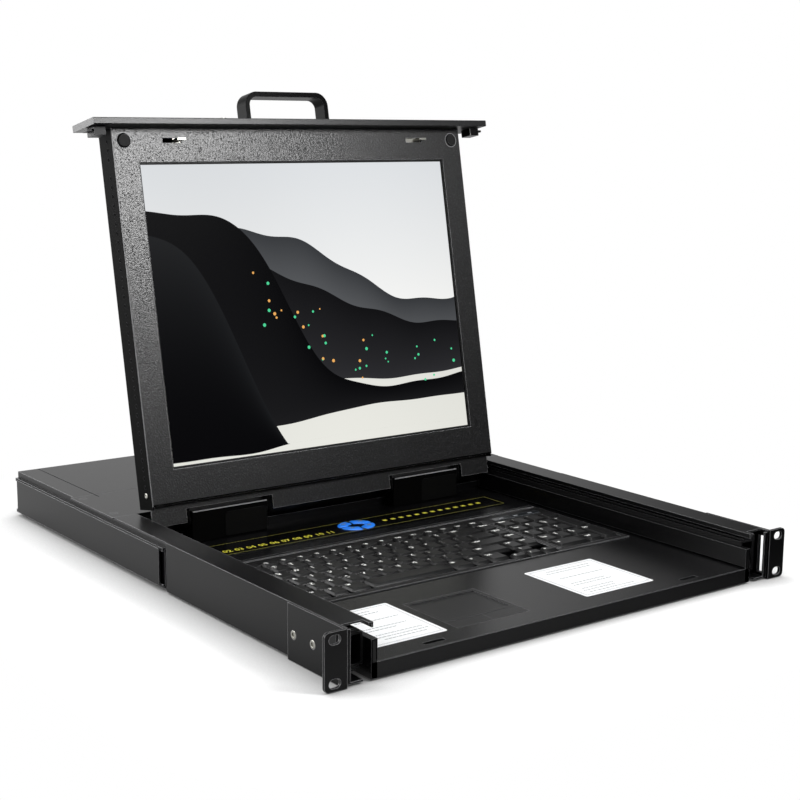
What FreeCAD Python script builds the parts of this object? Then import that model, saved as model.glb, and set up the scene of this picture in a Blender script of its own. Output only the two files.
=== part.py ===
"""Rack console drawer, one unit high: a fixed chassis, a keyboard drawer on telescopic slides and a
screen lid on friction hinges.

Millimetres. X runs to the right, Y to the back and Z up. The origin is the centre of the four ear
slots, in the front plane of the ears. Pieces of the chassis and the drawer are drawn from the bottom
edge of the ears and then set down by half a unit. Pieces of the lid are drawn upright, from the middle
of the lower edge of its face, and then leaned back about the hinge.
"""
import FreeCAD, Part
import math
import os
import re
import sys

import Sketcher

Vector = FreeCAD.Vector

# Driving sizes, each in one cell of the sheet
SIZES = {
    # screen, keys and what lies between them and the sides
    "screen_width": 337.9,
    "screen_height": 270.3,
    "screen_bottom": 31.5,
    "bezel_side": 24.85,
    "bezel_head": 31.7,
    "lid_gap": 0.8,
    "keyboard_offset": 2.15,
    "key_width": 17.45,
    "pad_key_width": 18.2,
    "pad_gap": 6.3,
    "keys_front": 139.6,
    "key_pitch": 19.4,
    "function_depth": 12.4,
    "key_gap": 0.8,
    "key_taper": 1.6,
    "key_rise": 3.2,
    "key_sink": 0.8,
    "arrow_drop": 6.0,
    "frame_side": 4.85,
    "frame_lip": 6.6,
    "frame_head": 19.0,
    "frame_flange": 2.0,
    "frame_rise": 1.0,
    "frame_depth": 4.4,
    "frame_clearance": 0.4,
    "ridge_depth": 6.0,
    "ridge_rise": 1.0,
    "divider_rise": 1.0,
    "divider_gap": 1.2,
    "base_plate": 1.2,
    "rail_inset": 4.0,
    "rail_width": 8.0,
    "lens_start": 9.5,
    "lens_end": 5.3,
    "lens_behind": 6.4,
    "lens_depth": 8.0,
    "lens_sink": 1.0,
    "lens_rise": 0.8,
    "lens_round": 2.5,
    # rack and chassis
    "unit_height": 43.66,
    "slot_inset": 10.55,
    "slot_end": 5.955,
    "slot_length": 10.0,
    "slot_width": 7.0,
    "ear_margin": 8.75,
    "ear_thickness": 2.5,
    "ear_corner": 4.0,
    "leg_length": 74.0,
    "leg_thickness": 2.0,
    "leg_screw_front": 40.8,
    "leg_screw_inset": 7.9,
    "leg_screw_height": 20.7,
    "wall_bottom": 1.5,
    "front_gap": 2.3,
    "steel": 1.5,
    "thin_steel": 1.2,
    "joggle_depth": 2.8,
    "joggle_ahead": 99.0,
    "joggle_run": 4.0,
    "flange_lap": 1.5,
    "lip_drop": 4.0,
    "notch_start": 2.5,
    "notch_depth": 10.0,
    "foot_flange": 15.0,
    "catch_lip": 4.1,
    "side_slot_front": 5.0,
    "side_slot_rear": 11.3,
    "side_slot_bottom": 4.8,
    "bay_gap": 10.3,
    "rear_bay_depth": 215.0,
    "front_cover_depth": 86.0,
    "cover_seam": 0.5,
    "cover_lip": 6.0,
    "cover_lap": 10.0,
    "cover_screw_side": 8.0,
    "cover_screw_ahead": 13.6,
    "cover_screw_behind": 9.3,
    "base_gap": 4.0,
    "base_drop": 9.66,
    "screw_head": 3.4,
    "screw_shank": 1.5,
    "screw_room": 0.1,
    # rear mounting rails
    "guide_bottom": 3.0,
    "guide_drop": 6.16,
    "guide_gap": 2.0,
    "guide_lip": 3.0,
    "guide_sheet": 0.8,
    "bar_inset": 5.0,
    "bar_short": 6.0,
    "bar_gap": 0.3,
    "bar_face": 1.4,
    "bar_slot_x": 18.0,
    "bar_slot_first": 24.0,
    "bar_slot_pitch": 40.0,
    # slides
    "slide_room": 22.0,
    "slide_front": 13.0,
    "slide_behind": 100.0,
    "slide_gap": 0.4,
    "slide_step": 3.0,
    "slide_bottom": 6.0,
    "slide_drop": 5.66,
    # tray
    "tray_front": 2.4,
    "tray_gap": 1.5,
    "tray_wall": 5.4,
    "tray_bottom": 1.0,
    "tray_wall_drop": 12.96,
    "tray_hem_gap": 1.5,
    "tray_rear_top": 21.0,
    "deck_top": 13.2,
    "deck_gap": 0.2,
    "deck_side": 8.45,
    "hook_slot_length": 19.0,
    "hook_slot_width": 4.4,
    # touch pad
    "touch_x": -67.15,
    "touch_width": 71.7,
    "touch_length": 53.2,
    "touch_rim": 3.4,
    "touch_recess": 1.0,
    "touch_floor": 1.2,
    "touch_depth": 5.2,
    "touch_foot": 5.0,
    "touch_foot_inset": 5.0,
    "button_front": 26.0,
    "button_depth": 15.8,
    "button_gap": 0.4,
    "button_height": 2.6,
    "button_round": 0.5,
    # control strip
    "strip_gap": 22.0,
    "strip_depth": 37.0,
    "strip_side": 19.6,
    "strip_thickness": 0.6,
    "ring_x": 2.0,
    "ring_radius": 15.5,
    "ring_hole": 6.0,
    "ring_rise": 0.8,
    "ring_gap": 1.6,
    # hinge
    "lean": 11.0,
    "hinge_ahead": 25.7,
    "hinge_cover": 9.86,
    "hinge_below": 17.2,
    "block_side": 41.3,
    "block_width": 79.5,
    "block_ahead": 7.7,
    "block_behind": 7.3,
    "block_drop": 1.36,
    "block_round": 5.0,
    "pin_radius": 3.0,
    "pin_play": 0.05,
    "arm_width": 4.0,
    "arm_gap": 0.5,
    "arm_round": 6.3,
    "arm_foot": 9.0,
    "arm_sole": 1.6,
    # lid
    "lid_clearance": 1.0,
    "lid_top_gap": 0.26,
    "closed_gap": 2.0,
    "lid_sheet": 1.2,
    "lid_skirt": 3.0,
    "apron_ahead": 9.0,
    "apron_drop": 20.5,
    "apron_top": 6.5,
    "notch_margin": 5.5,
    "screen_gap": 1.2,
    "panel_border": 11.0,
    "panel_room": 11.0,
    "glass_recess": 1.4,
    "hook_side": 67.8,
    "hook_width": 10.0,
    "hook_grip": 2.0,
    "hook_gap": 0.4,
    "hook_drop": 11.2,
    "hook_sheet": 2.0,
    "hook_reach": 8.2,
    "hook_barb": 3.5,
    "latch_travel": 4.0,
    "latch_bar_height": 10.0,
    "knob_x": -80.0,
    "knob_depth": 4.0,
    "knob_radius": 5.0,
    "knob_stem": 4.0,
    "knob_play": 0.5,
    "knob_rise": 3.0,
    "bumper_side": 10.8,
    "bumper_radius": 6.0,
    "bumper_rise": 1.6,
    # fascia
    "fascia_gap": 4.3,
    "fascia_low": 0.3,
    "fascia_over": 0.1,
    "fascia_thickness": 6.0,
    "fascia_round": 0.8,
    "handle_x": -4.0,
    "handle_width": 92.5,
    "handle_height": 30.0,
    "handle_bar": 4.8,
    "handle_front": 8.0,
    "handle_depth": 16.0,
    "handle_round": 13.0,
    "catch_side": 8.0,
    "catch_width": 11.0,
    "catch_reach": 5.4,
    "catch_front": -8.0,
    "catch_back": 6.0,
    "catch_height": 7.6,
    "catch_room": 0.3,
    "tongue_thickness": 2.0,
    # electronics
    "board_width": 280.0,
    "board_side": 10.0,
    "board_ahead": 95.0,
    "board_thickness": 1.6,
    "board_post": 5.0,
    "board_post_width": 6.0,
    "board_post_inset": 6.0,
    "board_gap": 0.5,
    "supply_width": 90.0,
    "supply_side": 3.0,
    "supply_ahead": 65.0,
    "supply_gap": 2.0,
    "supply_drop": 13.66,
    "rear_sheet": 1.2,
    "port_count": 8,
    "port_pitch": 34.0,
    "port_side": 5.0,
    "port_width": 16.4,
    "port_height": 8.2,
    "port_rise": 6.0,
    "port_taper": 1.4,
    "port_depth": 10.0,
    "port_level": 22.0,
    "port_screw_span": 25.0,
    "port_post": 2.9,
    "inlet_side": 35.0,
    "inlet_width": 27.0,
    "inlet_height": 20.0,
    "inlet_body": 18.0,
    "socket_width": 24.0,
    "socket_height": 16.2,
    "socket_depth": 15.0,
    "socket_corner": 4.5,
    "inlet_rim": 2.0,
    "rocker_pitch": 39.0,
    "rocker_width": 11.0,
    "rocker_height": 19.0,
    "rocker_play": 0.3,
    "switch_wall": 1.0,
    "switch_rim": 3.0,
    "switch_rise": 1.6,
    "switch_depth": 14.0,
    "rocker_room": 8.0,
    "rocker_back": 3.5,
    "rocker_tip": 2.0,
    "rocker_dip": 1.0,
    "rocker_slant": 0.6,
    # screen driver
    "driver_left": -90.0,
    "driver_right": 60.0,
    "driver_low": 90.0,
    "driver_high": 190.0,
    "driver_post": 4.0,
}

KEY_COLUMNS = 16
KEY_ROWS = 5
PAD_COLUMNS = 4

# Places and sizes that follow from the driving sizes
FOLLOWS = {
    # widths, from the screen or the keys out to the ears
    "keys_span": f"{KEY_COLUMNS} * key_width + pad_gap + {PAD_COLUMNS} * pad_key_width",
    "keys_left": "keyboard_offset - keys_span / 2",
    "keys_right": f"keys_left + {KEY_COLUMNS} * key_width",
    "pad_keys_left": "keys_right + pad_gap",
    "pad_keys_right": "keys_left + keys_span",
    "frame_left": "keys_left - frame_side",
    "frame_right": "pad_keys_right + frame_side",
    "tray_inner": "max(screen_width / 2 + bezel_side + lid_gap; frame_right + deck_side)",
    "tray_half": "tray_inner + tray_wall",
    "body_half": "tray_half + slide_room",
    "joggle_in": "body_half - joggle_depth",
    "flange_inner": "tray_half - flange_lap",
    "slot_span_x": "2 * (body_half + slot_inset)",
    "ear_width": "slot_span_x + 2 * ear_margin",
    "cover_screw_x": "body_half - cover_screw_side",
    "lid_half": "tray_inner - lid_gap",
    "block_outer": "lid_half - block_side",
    "block_inner": "block_outer - block_width",
    "hook_slot_inner": "lid_half - hook_side",
    "bumper_x": "lid_half - bumper_side",
    "strip_half": "tray_inner - strip_side",
    "fascia_half": "body_half - fascia_gap",
    "catch_outer": "body_half - catch_side",
    "catch_inner": "catch_outer - catch_width",
    "catch_tongue": "catch_outer + catch_reach",
    "touch_left": "touch_x - touch_width / 2",
    "touch_right": "touch_x + touch_width / 2",
    "lens_left": "pad_keys_left + lens_start",
    "lens_right": "pad_keys_right - lens_end",
    "board_left": "board_side - tray_half",
    "board_right": "board_left + board_width",
    "supply_right": "tray_half - supply_side",
    "port_first": "port_side - tray_half",
    "inlet_x": "body_half - inlet_side",
    "rocker_x": "inlet_x - rocker_pitch",
    # depths, from the front edge back to the connectors
    "leg_screw_rear": "leg_length - leg_screw_inset",
    "touch_front": "button_front + button_depth",
    "touch_rear": "touch_front + touch_length",
    "keys_rear": f"keys_front + {KEY_ROWS} * key_pitch",
    "function_rear": "keys_rear + function_depth",
    "frame_front": "keys_front - frame_lip",
    "frame_rear": "function_rear + frame_head",
    "lens_front": "keys_rear + lens_behind",
    "lens_rear": "lens_front + lens_depth",
    "strip_front": "frame_rear + strip_gap",
    "strip_rear": "strip_front + strip_depth",
    "screen_need": "screen_bottom + screen_height + bezel_head + hinge_below + closed_gap",
    "pivot_y": "max(screen_need; strip_rear + hinge_ahead)",
    "block_front": "pivot_y - block_ahead",
    "block_rear": "pivot_y + block_behind",
    "bay_depth": "pivot_y + bay_gap",
    "tray_rear": "bay_depth - tray_gap",
    "slide_end": "bay_depth + slide_behind",
    "joggle_start": "bay_depth - joggle_ahead",
    "guide_start": "joggle_start + joggle_run + guide_gap",
    "base_front": "bay_depth + base_gap",
    "front_cover_end": "bay_depth + front_cover_depth",
    "cover_screw_front": "bay_depth + cover_screw_ahead",
    "cover_screw_rear": "front_cover_end - cover_screw_behind",
    "body_depth": "bay_depth + rear_bay_depth",
    "bar_start": "guide_start + bar_inset",
    "bar_end": "body_depth - bar_short",
    "board_depth": "rear_bay_depth - board_ahead",
    "supply_depth": "rear_bay_depth - supply_ahead",
    # heights, from the unit's height down and from the deck up
    "slot_span_z": "unit_height - 2 * slot_end",
    "side_slot_top": "unit_height - slide_drop",
    "slide_top": "unit_height - slide_drop",
    "guide_top": "unit_height - guide_drop",
    "base_lip": "unit_height - base_drop",
    "tray_wall_top": "unit_height - tray_wall_drop",
    "tray_hem": "tray_wall_top - deck_top - tray_hem_gap",
    "supply_height": "unit_height - supply_drop",
    "block_top": "unit_height - block_drop",
    "pivot_height": "unit_height - hinge_cover",
    "frame_top": "deck_top + frame_rise",
    "frame_bottom": "deck_top - frame_depth",
    "key_top": "deck_top + key_rise",
    "key_bottom": "deck_top - key_sink",
    # the lid, whose face lies just above the keys when it is shut
    "closed_face": "key_top + lid_clearance",
    "lid_height": "pivot_y - hinge_below - closed_gap",
    "lid_depth": "unit_height - lid_top_gap - closed_face",
    "hinge_behind": "pivot_height - closed_face",
    "apron_front": "hinge_behind - apron_ahead",
    "panel_depth": "lid_depth - panel_room",
    "hook_height": "lid_height - hook_drop",
    "fascia_top": "lid_height + fascia_thickness",
    "fascia_ahead": "closed_face - fascia_low",
    "fascia_behind": "lid_depth + fascia_over",
}

KNOWN = re.compile(r"[a-z][a-z0-9_]*")

doc = FreeCAD.newDocument("console_drawer")
sheet = doc.addObject("Spreadsheet::Sheet", "Sizes")
for row, (alias, amount) in enumerate(SIZES.items(), start=1):
    sheet.set(f"A{row}", alias)
    sheet.set(f"B{row}", str(amount))
    sheet.setAlias(f"B{row}", alias)
doc.recompute()

nodes = []


def cell(match):
    """What stands for a name in an expression: its cell, or what it follows from."""
    name = match.group()
    if name in SIZES:
        return f"Sizes.{name}"
    if name in FOLLOWS:
        return f"({bound(FOLLOWS[name])})"
    return name


def bound(text):
    """The expression with each of its names led back to cells of the sheet."""
    return KNOWN.sub(cell, str(text))


def value(text):
    """The number that an expression of the sheet stands for now."""
    return float(sheet.evalExpression(bound(text)))


def bind(item, prop, text):
    item.setExpression(prop, bound(text))


def finish(item, label, placement):
    """Names a sub-part, sets it in the part's frame and lists it for export."""
    item.Label = label
    item.Placement = placement
    nodes.append(item)
    return item


def bench():
    """Placement of chassis and drawer pieces: heights are measured from the ears' bottom edge."""
    return FreeCAD.Placement(Vector(0, 0, -value("unit_height / 2")), FreeCAD.Rotation())


def leaned():
    """Placement of lid pieces: upright lid leaned back about the hinge pin."""
    turn = FreeCAD.Rotation(Vector(1, 0, 0), -value("lean"))
    pivot = Vector(0, value("pivot_y"), value("pivot_height - unit_height / 2"))
    arm = Vector(0, value("hinge_behind"), -value("hinge_below"))
    return FreeCAD.Placement(pivot - turn.multVec(arm), turn)


def new_body(name):
    body = doc.addObject("PartDesign::Body", name)
    body.AllowCompound = True
    return body


def origin_plane(body, role):
    for item in body.Origin.OriginFeatures:
        if item.Role == role:
            return item


def fix_point(sketch, geometry, end, x, y):
    """Ties one point of the sketch to a pair of expressions."""
    spot = sketch.addConstraint(Sketcher.Constraint("DistanceX", -1, 1, geometry, end, value(x)))
    bind(sketch, f"Constraints[{spot}]", x)
    spot = sketch.addConstraint(Sketcher.Constraint("DistanceY", -1, 1, geometry, end, value(y)))
    bind(sketch, f"Constraints[{spot}]", y)


def add_polygon(sketch, corners):
    """A closed run of straight lines through corners given as pairs of expressions."""
    first = sketch.GeometryCount
    points = [Vector(value(x), value(y), 0) for x, y in corners]
    count = len(points)
    for index in range(count):
        sketch.addGeometry(Part.LineSegment(points[index], points[(index + 1) % count]), False)
    for index in range(count):
        after = first + (index + 1) % count
        sketch.addConstraint(Sketcher.Constraint("Coincident", first + index, 2, after, 1))
    for index, (x, y) in enumerate(corners):
        fix_point(sketch, first + index, 1, x, y)


def add_circle(sketch, x, y, radius):
    middle = Vector(value(x), value(y), 0)
    spot = sketch.addGeometry(Part.Circle(middle, Vector(0, 0, 1), value(radius)), False)
    fix_point(sketch, spot, 3, x, y)
    rule = sketch.addConstraint(Sketcher.Constraint("Radius", spot, value(radius)))
    bind(sketch, f"Constraints[{rule}]", radius)


def add_slot(sketch, x, y, length, width):
    """A slot along the sketch's first axis, round at both ends."""
    half = value(length) / 2 - value(width) / 2
    radius = value(width) / 2
    middle = Vector(value(x), value(y), 0)
    left = middle - Vector(half, 0, 0)
    right = middle + Vector(half, 0, 0)
    up = Vector(0, radius, 0)
    first = sketch.GeometryCount
    quarter = math.pi / 2
    axis = Vector(0, 0, 1)
    sketch.addGeometry(Part.LineSegment(left + up, right + up), False)
    sketch.addGeometry(Part.ArcOfCircle(Part.Circle(right, axis, radius), -quarter, quarter), False)
    sketch.addGeometry(Part.LineSegment(right - up, left - up), False)
    sketch.addGeometry(Part.ArcOfCircle(Part.Circle(left, axis, radius), quarter, 3 * quarter), False)
    joins = [(0, 2, 1, 2), (1, 1, 2, 1), (2, 2, 3, 2), (3, 1, 0, 1)]
    for one, end, other, start in joins:
        sketch.addConstraint(Sketcher.Constraint("Tangent", first + one, end, first + other, start))
    fix_point(sketch, first + 1, 3, f"({x}) + ({length}) / 2 - ({width}) / 2", y)
    spot = sketch.addConstraint(Sketcher.Constraint("DistanceX", -1, 1, first + 3, 3, left.x))
    bind(sketch, f"Constraints[{spot}]", f"({x}) - ({length}) / 2 + ({width}) / 2")
    rule = sketch.addConstraint(Sketcher.Constraint("Radius", first + 1, radius))
    bind(sketch, f"Constraints[{rule}]", f"({width}) / 2")


def rectangle(left, low, right, high):
    return [(left, low), (right, low), (right, high), (left, high)]


def draw(body, name, plane, shapes, offset):
    """A sketch on one origin plane of its body, moved along the plane's normal by an expression."""
    sketch = body.newObject("Sketcher::SketchObject", name)
    sketch.AttachmentSupport = [(origin_plane(body, plane), "")]
    sketch.MapMode = "FlatFace"
    bind(sketch, "AttachmentOffset.Base.z", offset)
    for shape in shapes:
        if shape[0] == "circle":
            add_circle(sketch, *shape[1:])
        elif shape[0] == "slot":
            add_slot(sketch, *shape[1:])
        else:
            add_polygon(sketch, shape)
    return sketch


def pad(body, name, plane, shapes, low, high):
    """Fills the outlines between two distances along X, Y or Z."""
    start = f"-({high})" if plane == "XZ_Plane" else low
    sketch = draw(body, name + "_outline", plane, shapes, start)
    feature = body.newObject("PartDesign::Pad", name)
    feature.Profile = sketch
    bind(feature, "Length", f"({high}) - ({low})")
    doc.recompute()
    return feature


def pocket(body, name, plane, shapes, low, high):
    """Cuts the outlines away between two distances along X, Y or Z, and checks that metal went."""
    before = body.Shape.Volume
    start = f"-({low})" if plane == "XZ_Plane" else high
    sketch = draw(body, name + "_outline", plane, shapes, start)
    feature = body.newObject("PartDesign::Pocket", name)
    feature.Profile = sketch
    bind(feature, "Length", f"({high}) - ({low})")
    doc.recompute()
    if body.Shape.Volume > before - 0.01:
        raise RuntimeError(f"{body.Name}: the pocket {name} cuts nothing")
    return feature


def soften(body, name, radius, wanted):
    """Rounds the edges for which wanted(edge) holds."""
    base = body.Tip
    picked = [f"Edge{n}" for n, edge in enumerate(base.Shape.Edges, start=1) if wanted(edge)]
    if not picked:
        raise RuntimeError(f"{body.Name}: no edge for {name}")
    feature = body.newObject("PartDesign::Fillet", name)
    feature.Base = (base, picked)
    bind(feature, "Radius", radius)
    doc.recompute()
    return feature


def runs_along(edge, axis):
    """Whether a straight edge is parallel to a coordinate axis."""
    if edge.Curve.TypeId != "Part::GeomLine":
        return False
    way = edge.Vertexes[-1].Point - edge.Vertexes[0].Point
    return abs(abs(way.normalize().dot(axis)) - 1) < 1e-6


def mirrored(side, corners):
    """Corners whose first coordinate is a distance out from the middle, on the given side."""
    return [(f"{side} * ({x})", y) for x, y in corners]


def side_name(side):
    return "right" if side > 0 else "left"


def cylinder(name, radius, height, x, y, z, axis="z"):
    """A round bar that starts at a point and runs along +X, +Y or +Z."""
    turns = {"x": (Vector(0, 1, 0), 90), "y": (Vector(1, 0, 0), -90), "z": (Vector(0, 0, 1), 0)}
    item = doc.addObject("Part::Cylinder", name)
    bind(item, "Radius", radius)
    bind(item, "Height", height)
    item.Placement.Rotation = FreeCAD.Rotation(*turns[axis])
    bind(item, "Placement.Base.x", x)
    bind(item, "Placement.Base.y", y)
    bind(item, "Placement.Base.z", z)
    return item


SHANK_SIDES = 8


def countersunk(name, x, y, z, turn, length):
    """A flat-headed screw whose head is level with the point and whose shank runs inwards."""
    head = doc.addObject("Part::Cone", name + "_head")
    bind(head, "Radius1", "screw_head")
    bind(head, "Radius2", "screw_shank")
    bind(head, "Height", "screw_head - screw_shank")
    shank = doc.addObject("Part::Prism", name + "_shank")
    shank.Polygon = SHANK_SIDES
    bind(shank, "Circumradius", "screw_shank")
    bind(shank, "Height", length)
    screw = doc.addObject("Part::Fuse", name)
    screw.Base = head
    screw.Tool = shank
    screw.Placement.Rotation = turn
    bind(screw, "Placement.Base.x", x)
    bind(screw, "Placement.Base.y", y)
    bind(screw, "Placement.Base.z", z)
    return screw


def group(name, items, placement):
    """Separate solids of one kind, kept together in one sub-part."""
    whole = doc.addObject("Part::Compound", name)
    whole.Links = items
    doc.recompute()
    return finish(whole, name, placement)


INWARD = {1: FreeCAD.Rotation(Vector(0, 1, 0), -90), -1: FreeCAD.Rotation(Vector(0, 1, 0), 90)}
DOWN = FreeCAD.Rotation(Vector(1, 0, 0), 180)
SCREW_SEAT = "screw_head + screw_room"
CHANNEL_TOP = "unit_height"


def side_channel(side):
    """A folded side member: wall, top flange with a lip, foot flange and the joggle for the guide."""
    name = f"side_channel_{side_name(side)}"
    body = new_body(name)
    inner = "body_half - steel"
    rear_start = "joggle_start + joggle_run"
    wall = [("body_half", "front_gap"), ("body_half", "joggle_start"), ("joggle_in", rear_start),
            ("joggle_in", "body_depth"), ("joggle_in - steel", "body_depth"),
            ("joggle_in - steel", rear_start), (inner, "joggle_start"),
            (inner, "front_gap + steel"), (f"{inner} + steel - catch_lip", "front_gap + steel"),
            (f"{inner} + steel - catch_lip", "front_gap")]
    pad(body, name + "_wall", "XY_Plane", [mirrored(side, wall)], "wall_bottom", CHANNEL_TOP)
    top = rectangle("flange_inner", f"{CHANNEL_TOP} - steel", "body_half - steel / 2", CHANNEL_TOP)
    lip = rectangle("flange_inner", f"{CHANNEL_TOP} - lip_drop", "flange_inner + steel",
                    f"{CHANNEL_TOP} - steel / 2")
    pad(body, name + "_flange", "XZ_Plane", [mirrored(side, top)], "front_gap", "bay_depth")
    pad(body, name + "_lip", "XZ_Plane", [mirrored(side, lip)], "front_gap", "bay_depth")
    rear = rectangle("flange_inner", f"{CHANNEL_TOP} - steel", "joggle_in - steel / 2", CHANNEL_TOP)
    pad(body, name + "_strip", "XZ_Plane", [mirrored(side, rear)], "front_cover_end", "body_depth")
    ledge = rectangle("flange_inner", f"{CHANNEL_TOP} - steel * 2", "joggle_in - steel / 2",
                      f"{CHANNEL_TOP} - steel")
    pad(body, name + "_ledge", "XZ_Plane", [mirrored(side, ledge)], "bay_depth - cover_lap",
        "front_cover_end + cover_lap")
    foot = rectangle("body_half - foot_flange", "wall_bottom", "joggle_in - steel / 2", "wall_bottom + steel")
    pad(body, name + "_foot", "XZ_Plane", [mirrored(side, foot)], "front_gap", "body_depth")
    cut = mirrored(side, rectangle("joggle_in - steel - 1", "bay_depth", "body_half + 1", "front_cover_end"))
    pocket(body, name + "_step", "XY_Plane", [cut], f"{CHANNEL_TOP} - steel", f"{CHANNEL_TOP} + 1")
    notch = mirrored(side, rectangle("tray_half + notch_start", "front_gap - 1", inner, "notch_depth"))
    pocket(body, name + "_notch", "XY_Plane", [notch], f"{CHANNEL_TOP} - steel * 1.1", f"{CHANNEL_TOP} + 1")
    window = rectangle("side_slot_front", "side_slot_bottom", "side_slot_rear", "side_slot_top")
    low, high = ("body_half - 3", "body_half + 1") if side > 0 else ("-body_half - 1", "-body_half + 3")
    pocket(body, name + "_slot", "YZ_Plane", [window], low, high)
    holes = []
    for place in ("leg_screw_front", "leg_screw_rear"):
        holes.append(("circle", place, "leg_screw_height", "screw_shank"))
    pocket(body, name + "_screw_holes", "YZ_Plane", holes, low, high)
    holes = []
    for place in ("cover_screw_front", "cover_screw_rear"):
        holes.append(("circle", f"{side} * cover_screw_x", place, f"{SCREW_SEAT} - steel"))
    pocket(body, name + "_cover_holes", "XY_Plane", holes, f"{CHANNEL_TOP} - 4", f"{CHANNEL_TOP} + 1")
    return finish(body, name, bench())


def ear_bracket(side):
    """The rack ear: a slotted flange and the leg that is screwed to the side."""
    name = f"ear_bracket_{side_name(side)}"
    body = new_body(name)
    bend = [("body_half", 0), ("ear_width / 2", 0), ("ear_width / 2", "ear_thickness"),
            ("body_half + leg_thickness", "ear_thickness"), ("body_half + leg_thickness", "leg_length"),
            ("body_half", "leg_length")]
    pad(body, name + "_angle", "XY_Plane", [mirrored(side, bend)], 0, "unit_height")
    slots = []
    for way in (-1, 1):
        slots.append(("slot", f"{side} * slot_span_x / 2", f"unit_height / 2 + {way} * slot_span_z / 2",
                      "slot_length", "slot_width"))
    pocket(body, name + "_slots", "XZ_Plane", slots, -1, "ear_thickness + 1")
    low, high = ("body_half - 1", "body_half + 4") if side > 0 else ("-body_half - 4", "-body_half + 1")
    window = rectangle("side_slot_front", "side_slot_bottom", "side_slot_rear", "side_slot_top")
    pocket(body, name + "_window", "YZ_Plane", [window], low, high)
    holes = []
    for place in ("leg_screw_front", "leg_screw_rear"):
        holes.append(("circle", place, "leg_screw_height", SCREW_SEAT))
    pocket(body, name + "_seats", "YZ_Plane", holes, low, high)
    outer = value("ear_width / 2")
    soften(body, name + "_corners", "ear_corner",
           lambda edge: runs_along(edge, Vector(0, 1, 0)) and abs(abs(edge.CenterOfMass.x) - outer) < 0.01)
    return finish(body, name, bench())


def ear_screws():
    """Four flat-headed screws through the legs of the ears."""
    screws = []
    for side in (-1, 1):
        for place in ("leg_screw_front", "leg_screw_rear"):
            screws.append(countersunk(f"ear_screw_{len(screws)}", f"{side} * (body_half + leg_thickness)",
                                      place, "leg_screw_height", INWARD[side], "leg_thickness + steel"))
    return group("ear_screws", screws, bench())


def cover_screws():
    """Flat-headed screws of the front cover."""
    screws = []
    for side in (-1, 1):
        for place in ("cover_screw_front", "cover_screw_rear"):
            screws.append(countersunk(f"cover_screw_{len(screws)}", f"{side} * cover_screw_x", place,
                                      CHANNEL_TOP, DOWN, "steel * 2"))
    return group("cover_screws", screws, bench())


def front_cover():
    """The cover just behind the lid, screwed down at both sides."""
    body = new_body("front_cover")
    plan = rectangle("-body_half", "bay_depth", "body_half", "front_cover_end - cover_seam / 2")
    plate = f"{CHANNEL_TOP} - steel"
    pad(body, "front_cover_plate", "XY_Plane", [plan], plate, CHANNEL_TOP)
    seats = []
    for side in (-1, 1):
        for place in ("cover_screw_front", "cover_screw_rear"):
            seats.append(("circle", f"{side} * cover_screw_x", place, SCREW_SEAT))
    pocket(body, "front_cover_seats", "XY_Plane", seats, f"{CHANNEL_TOP} - 2", f"{CHANNEL_TOP} + 1")
    lip = rectangle("-flange_inner + cover_seam", f"{CHANNEL_TOP} - cover_lip", "flange_inner - cover_seam",
                    f"{plate} + 0.1")
    pad(body, "front_cover_lip", "XZ_Plane", [lip], "bay_depth", "bay_depth + thin_steel")
    return finish(body, "front_cover", bench())


def rear_cover():
    """The cover of the electronics bay, folded down at the front."""
    body = new_body("rear_cover")
    edge = "flange_inner - cover_seam"
    plan = rectangle(f"-({edge})", "front_cover_end + cover_seam / 2", edge, "body_depth")
    pad(body, "rear_cover_plate", "XY_Plane", [plan], f"{CHANNEL_TOP} - steel", CHANNEL_TOP)
    ledge = rectangle(f"-({edge})", "front_cover_end - cover_lap", edge, "front_cover_end + cover_lap")
    pad(body, "rear_cover_ledge", "XY_Plane", [ledge], f"{CHANNEL_TOP} - steel - thin_steel",
        f"{CHANNEL_TOP} - steel")
    return finish(body, "rear_cover", bench())


BASE_TOP = "wall_bottom + steel + thin_steel"
BASE_HALF = "joggle_in - steel"


def base_pan():
    """The floor of the electronics bay with an upstand at the front."""
    body = new_body("base_pan")
    side = [("base_front", "wall_bottom + steel"), ("body_depth - rear_sheet", "wall_bottom + steel"),
            ("body_depth - rear_sheet", BASE_TOP), ("base_front + thin_steel", BASE_TOP),
            ("base_front + thin_steel", "base_lip"), ("base_front", "base_lip")]
    pad(body, "base_pan_sheet", "YZ_Plane", [side], f"-({BASE_HALF})", BASE_HALF)
    corner = []
    for way in (-1, 1):
        corner.append(mirrored(way, rectangle("tray_half - 2", "base_front - 1", "body_half",
                                              "slide_end + 6")))
    pocket(body, "base_pan_slide_room", "XY_Plane", corner, BASE_TOP, "base_lip + 1")
    return finish(body, "base_pan", bench())


def around(what, margin):
    """The outline of the inlet or the rocker on the rear panel, larger by a margin on each side."""
    return rectangle(f"{what}_x - {what}_width / 2 - {margin}", f"port_level - {what}_height / 2 - {margin}",
                     f"{what}_x + {what}_width / 2 + {margin}", f"port_level + {what}_height / 2 + {margin}")


def rear_panel():
    """The connector panel at the back."""
    body = new_body("rear_panel")
    plate = rectangle(f"-({BASE_HALF})", "wall_bottom + steel", BASE_HALF, f"{CHANNEL_TOP} - steel")
    pad(body, "rear_panel_plate", "XZ_Plane", [plate], "body_depth - rear_sheet", "body_depth")
    holes = [around("inlet", "0"), around("rocker", "switch_wall")]
    for index in range(int(value("port_count"))):
        middle = f"port_first + {index} * port_pitch + port_pitch / 2"
        holes.append(rectangle(f"{middle} - port_width / 2", "port_level - port_height / 2",
                               f"{middle} + port_width / 2", "port_level + port_height / 2"))
    pocket(body, "rear_panel_holes", "XZ_Plane", holes, "body_depth - rear_sheet - 1", "body_depth + 1")
    return finish(body, "rear_panel", bench())


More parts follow.
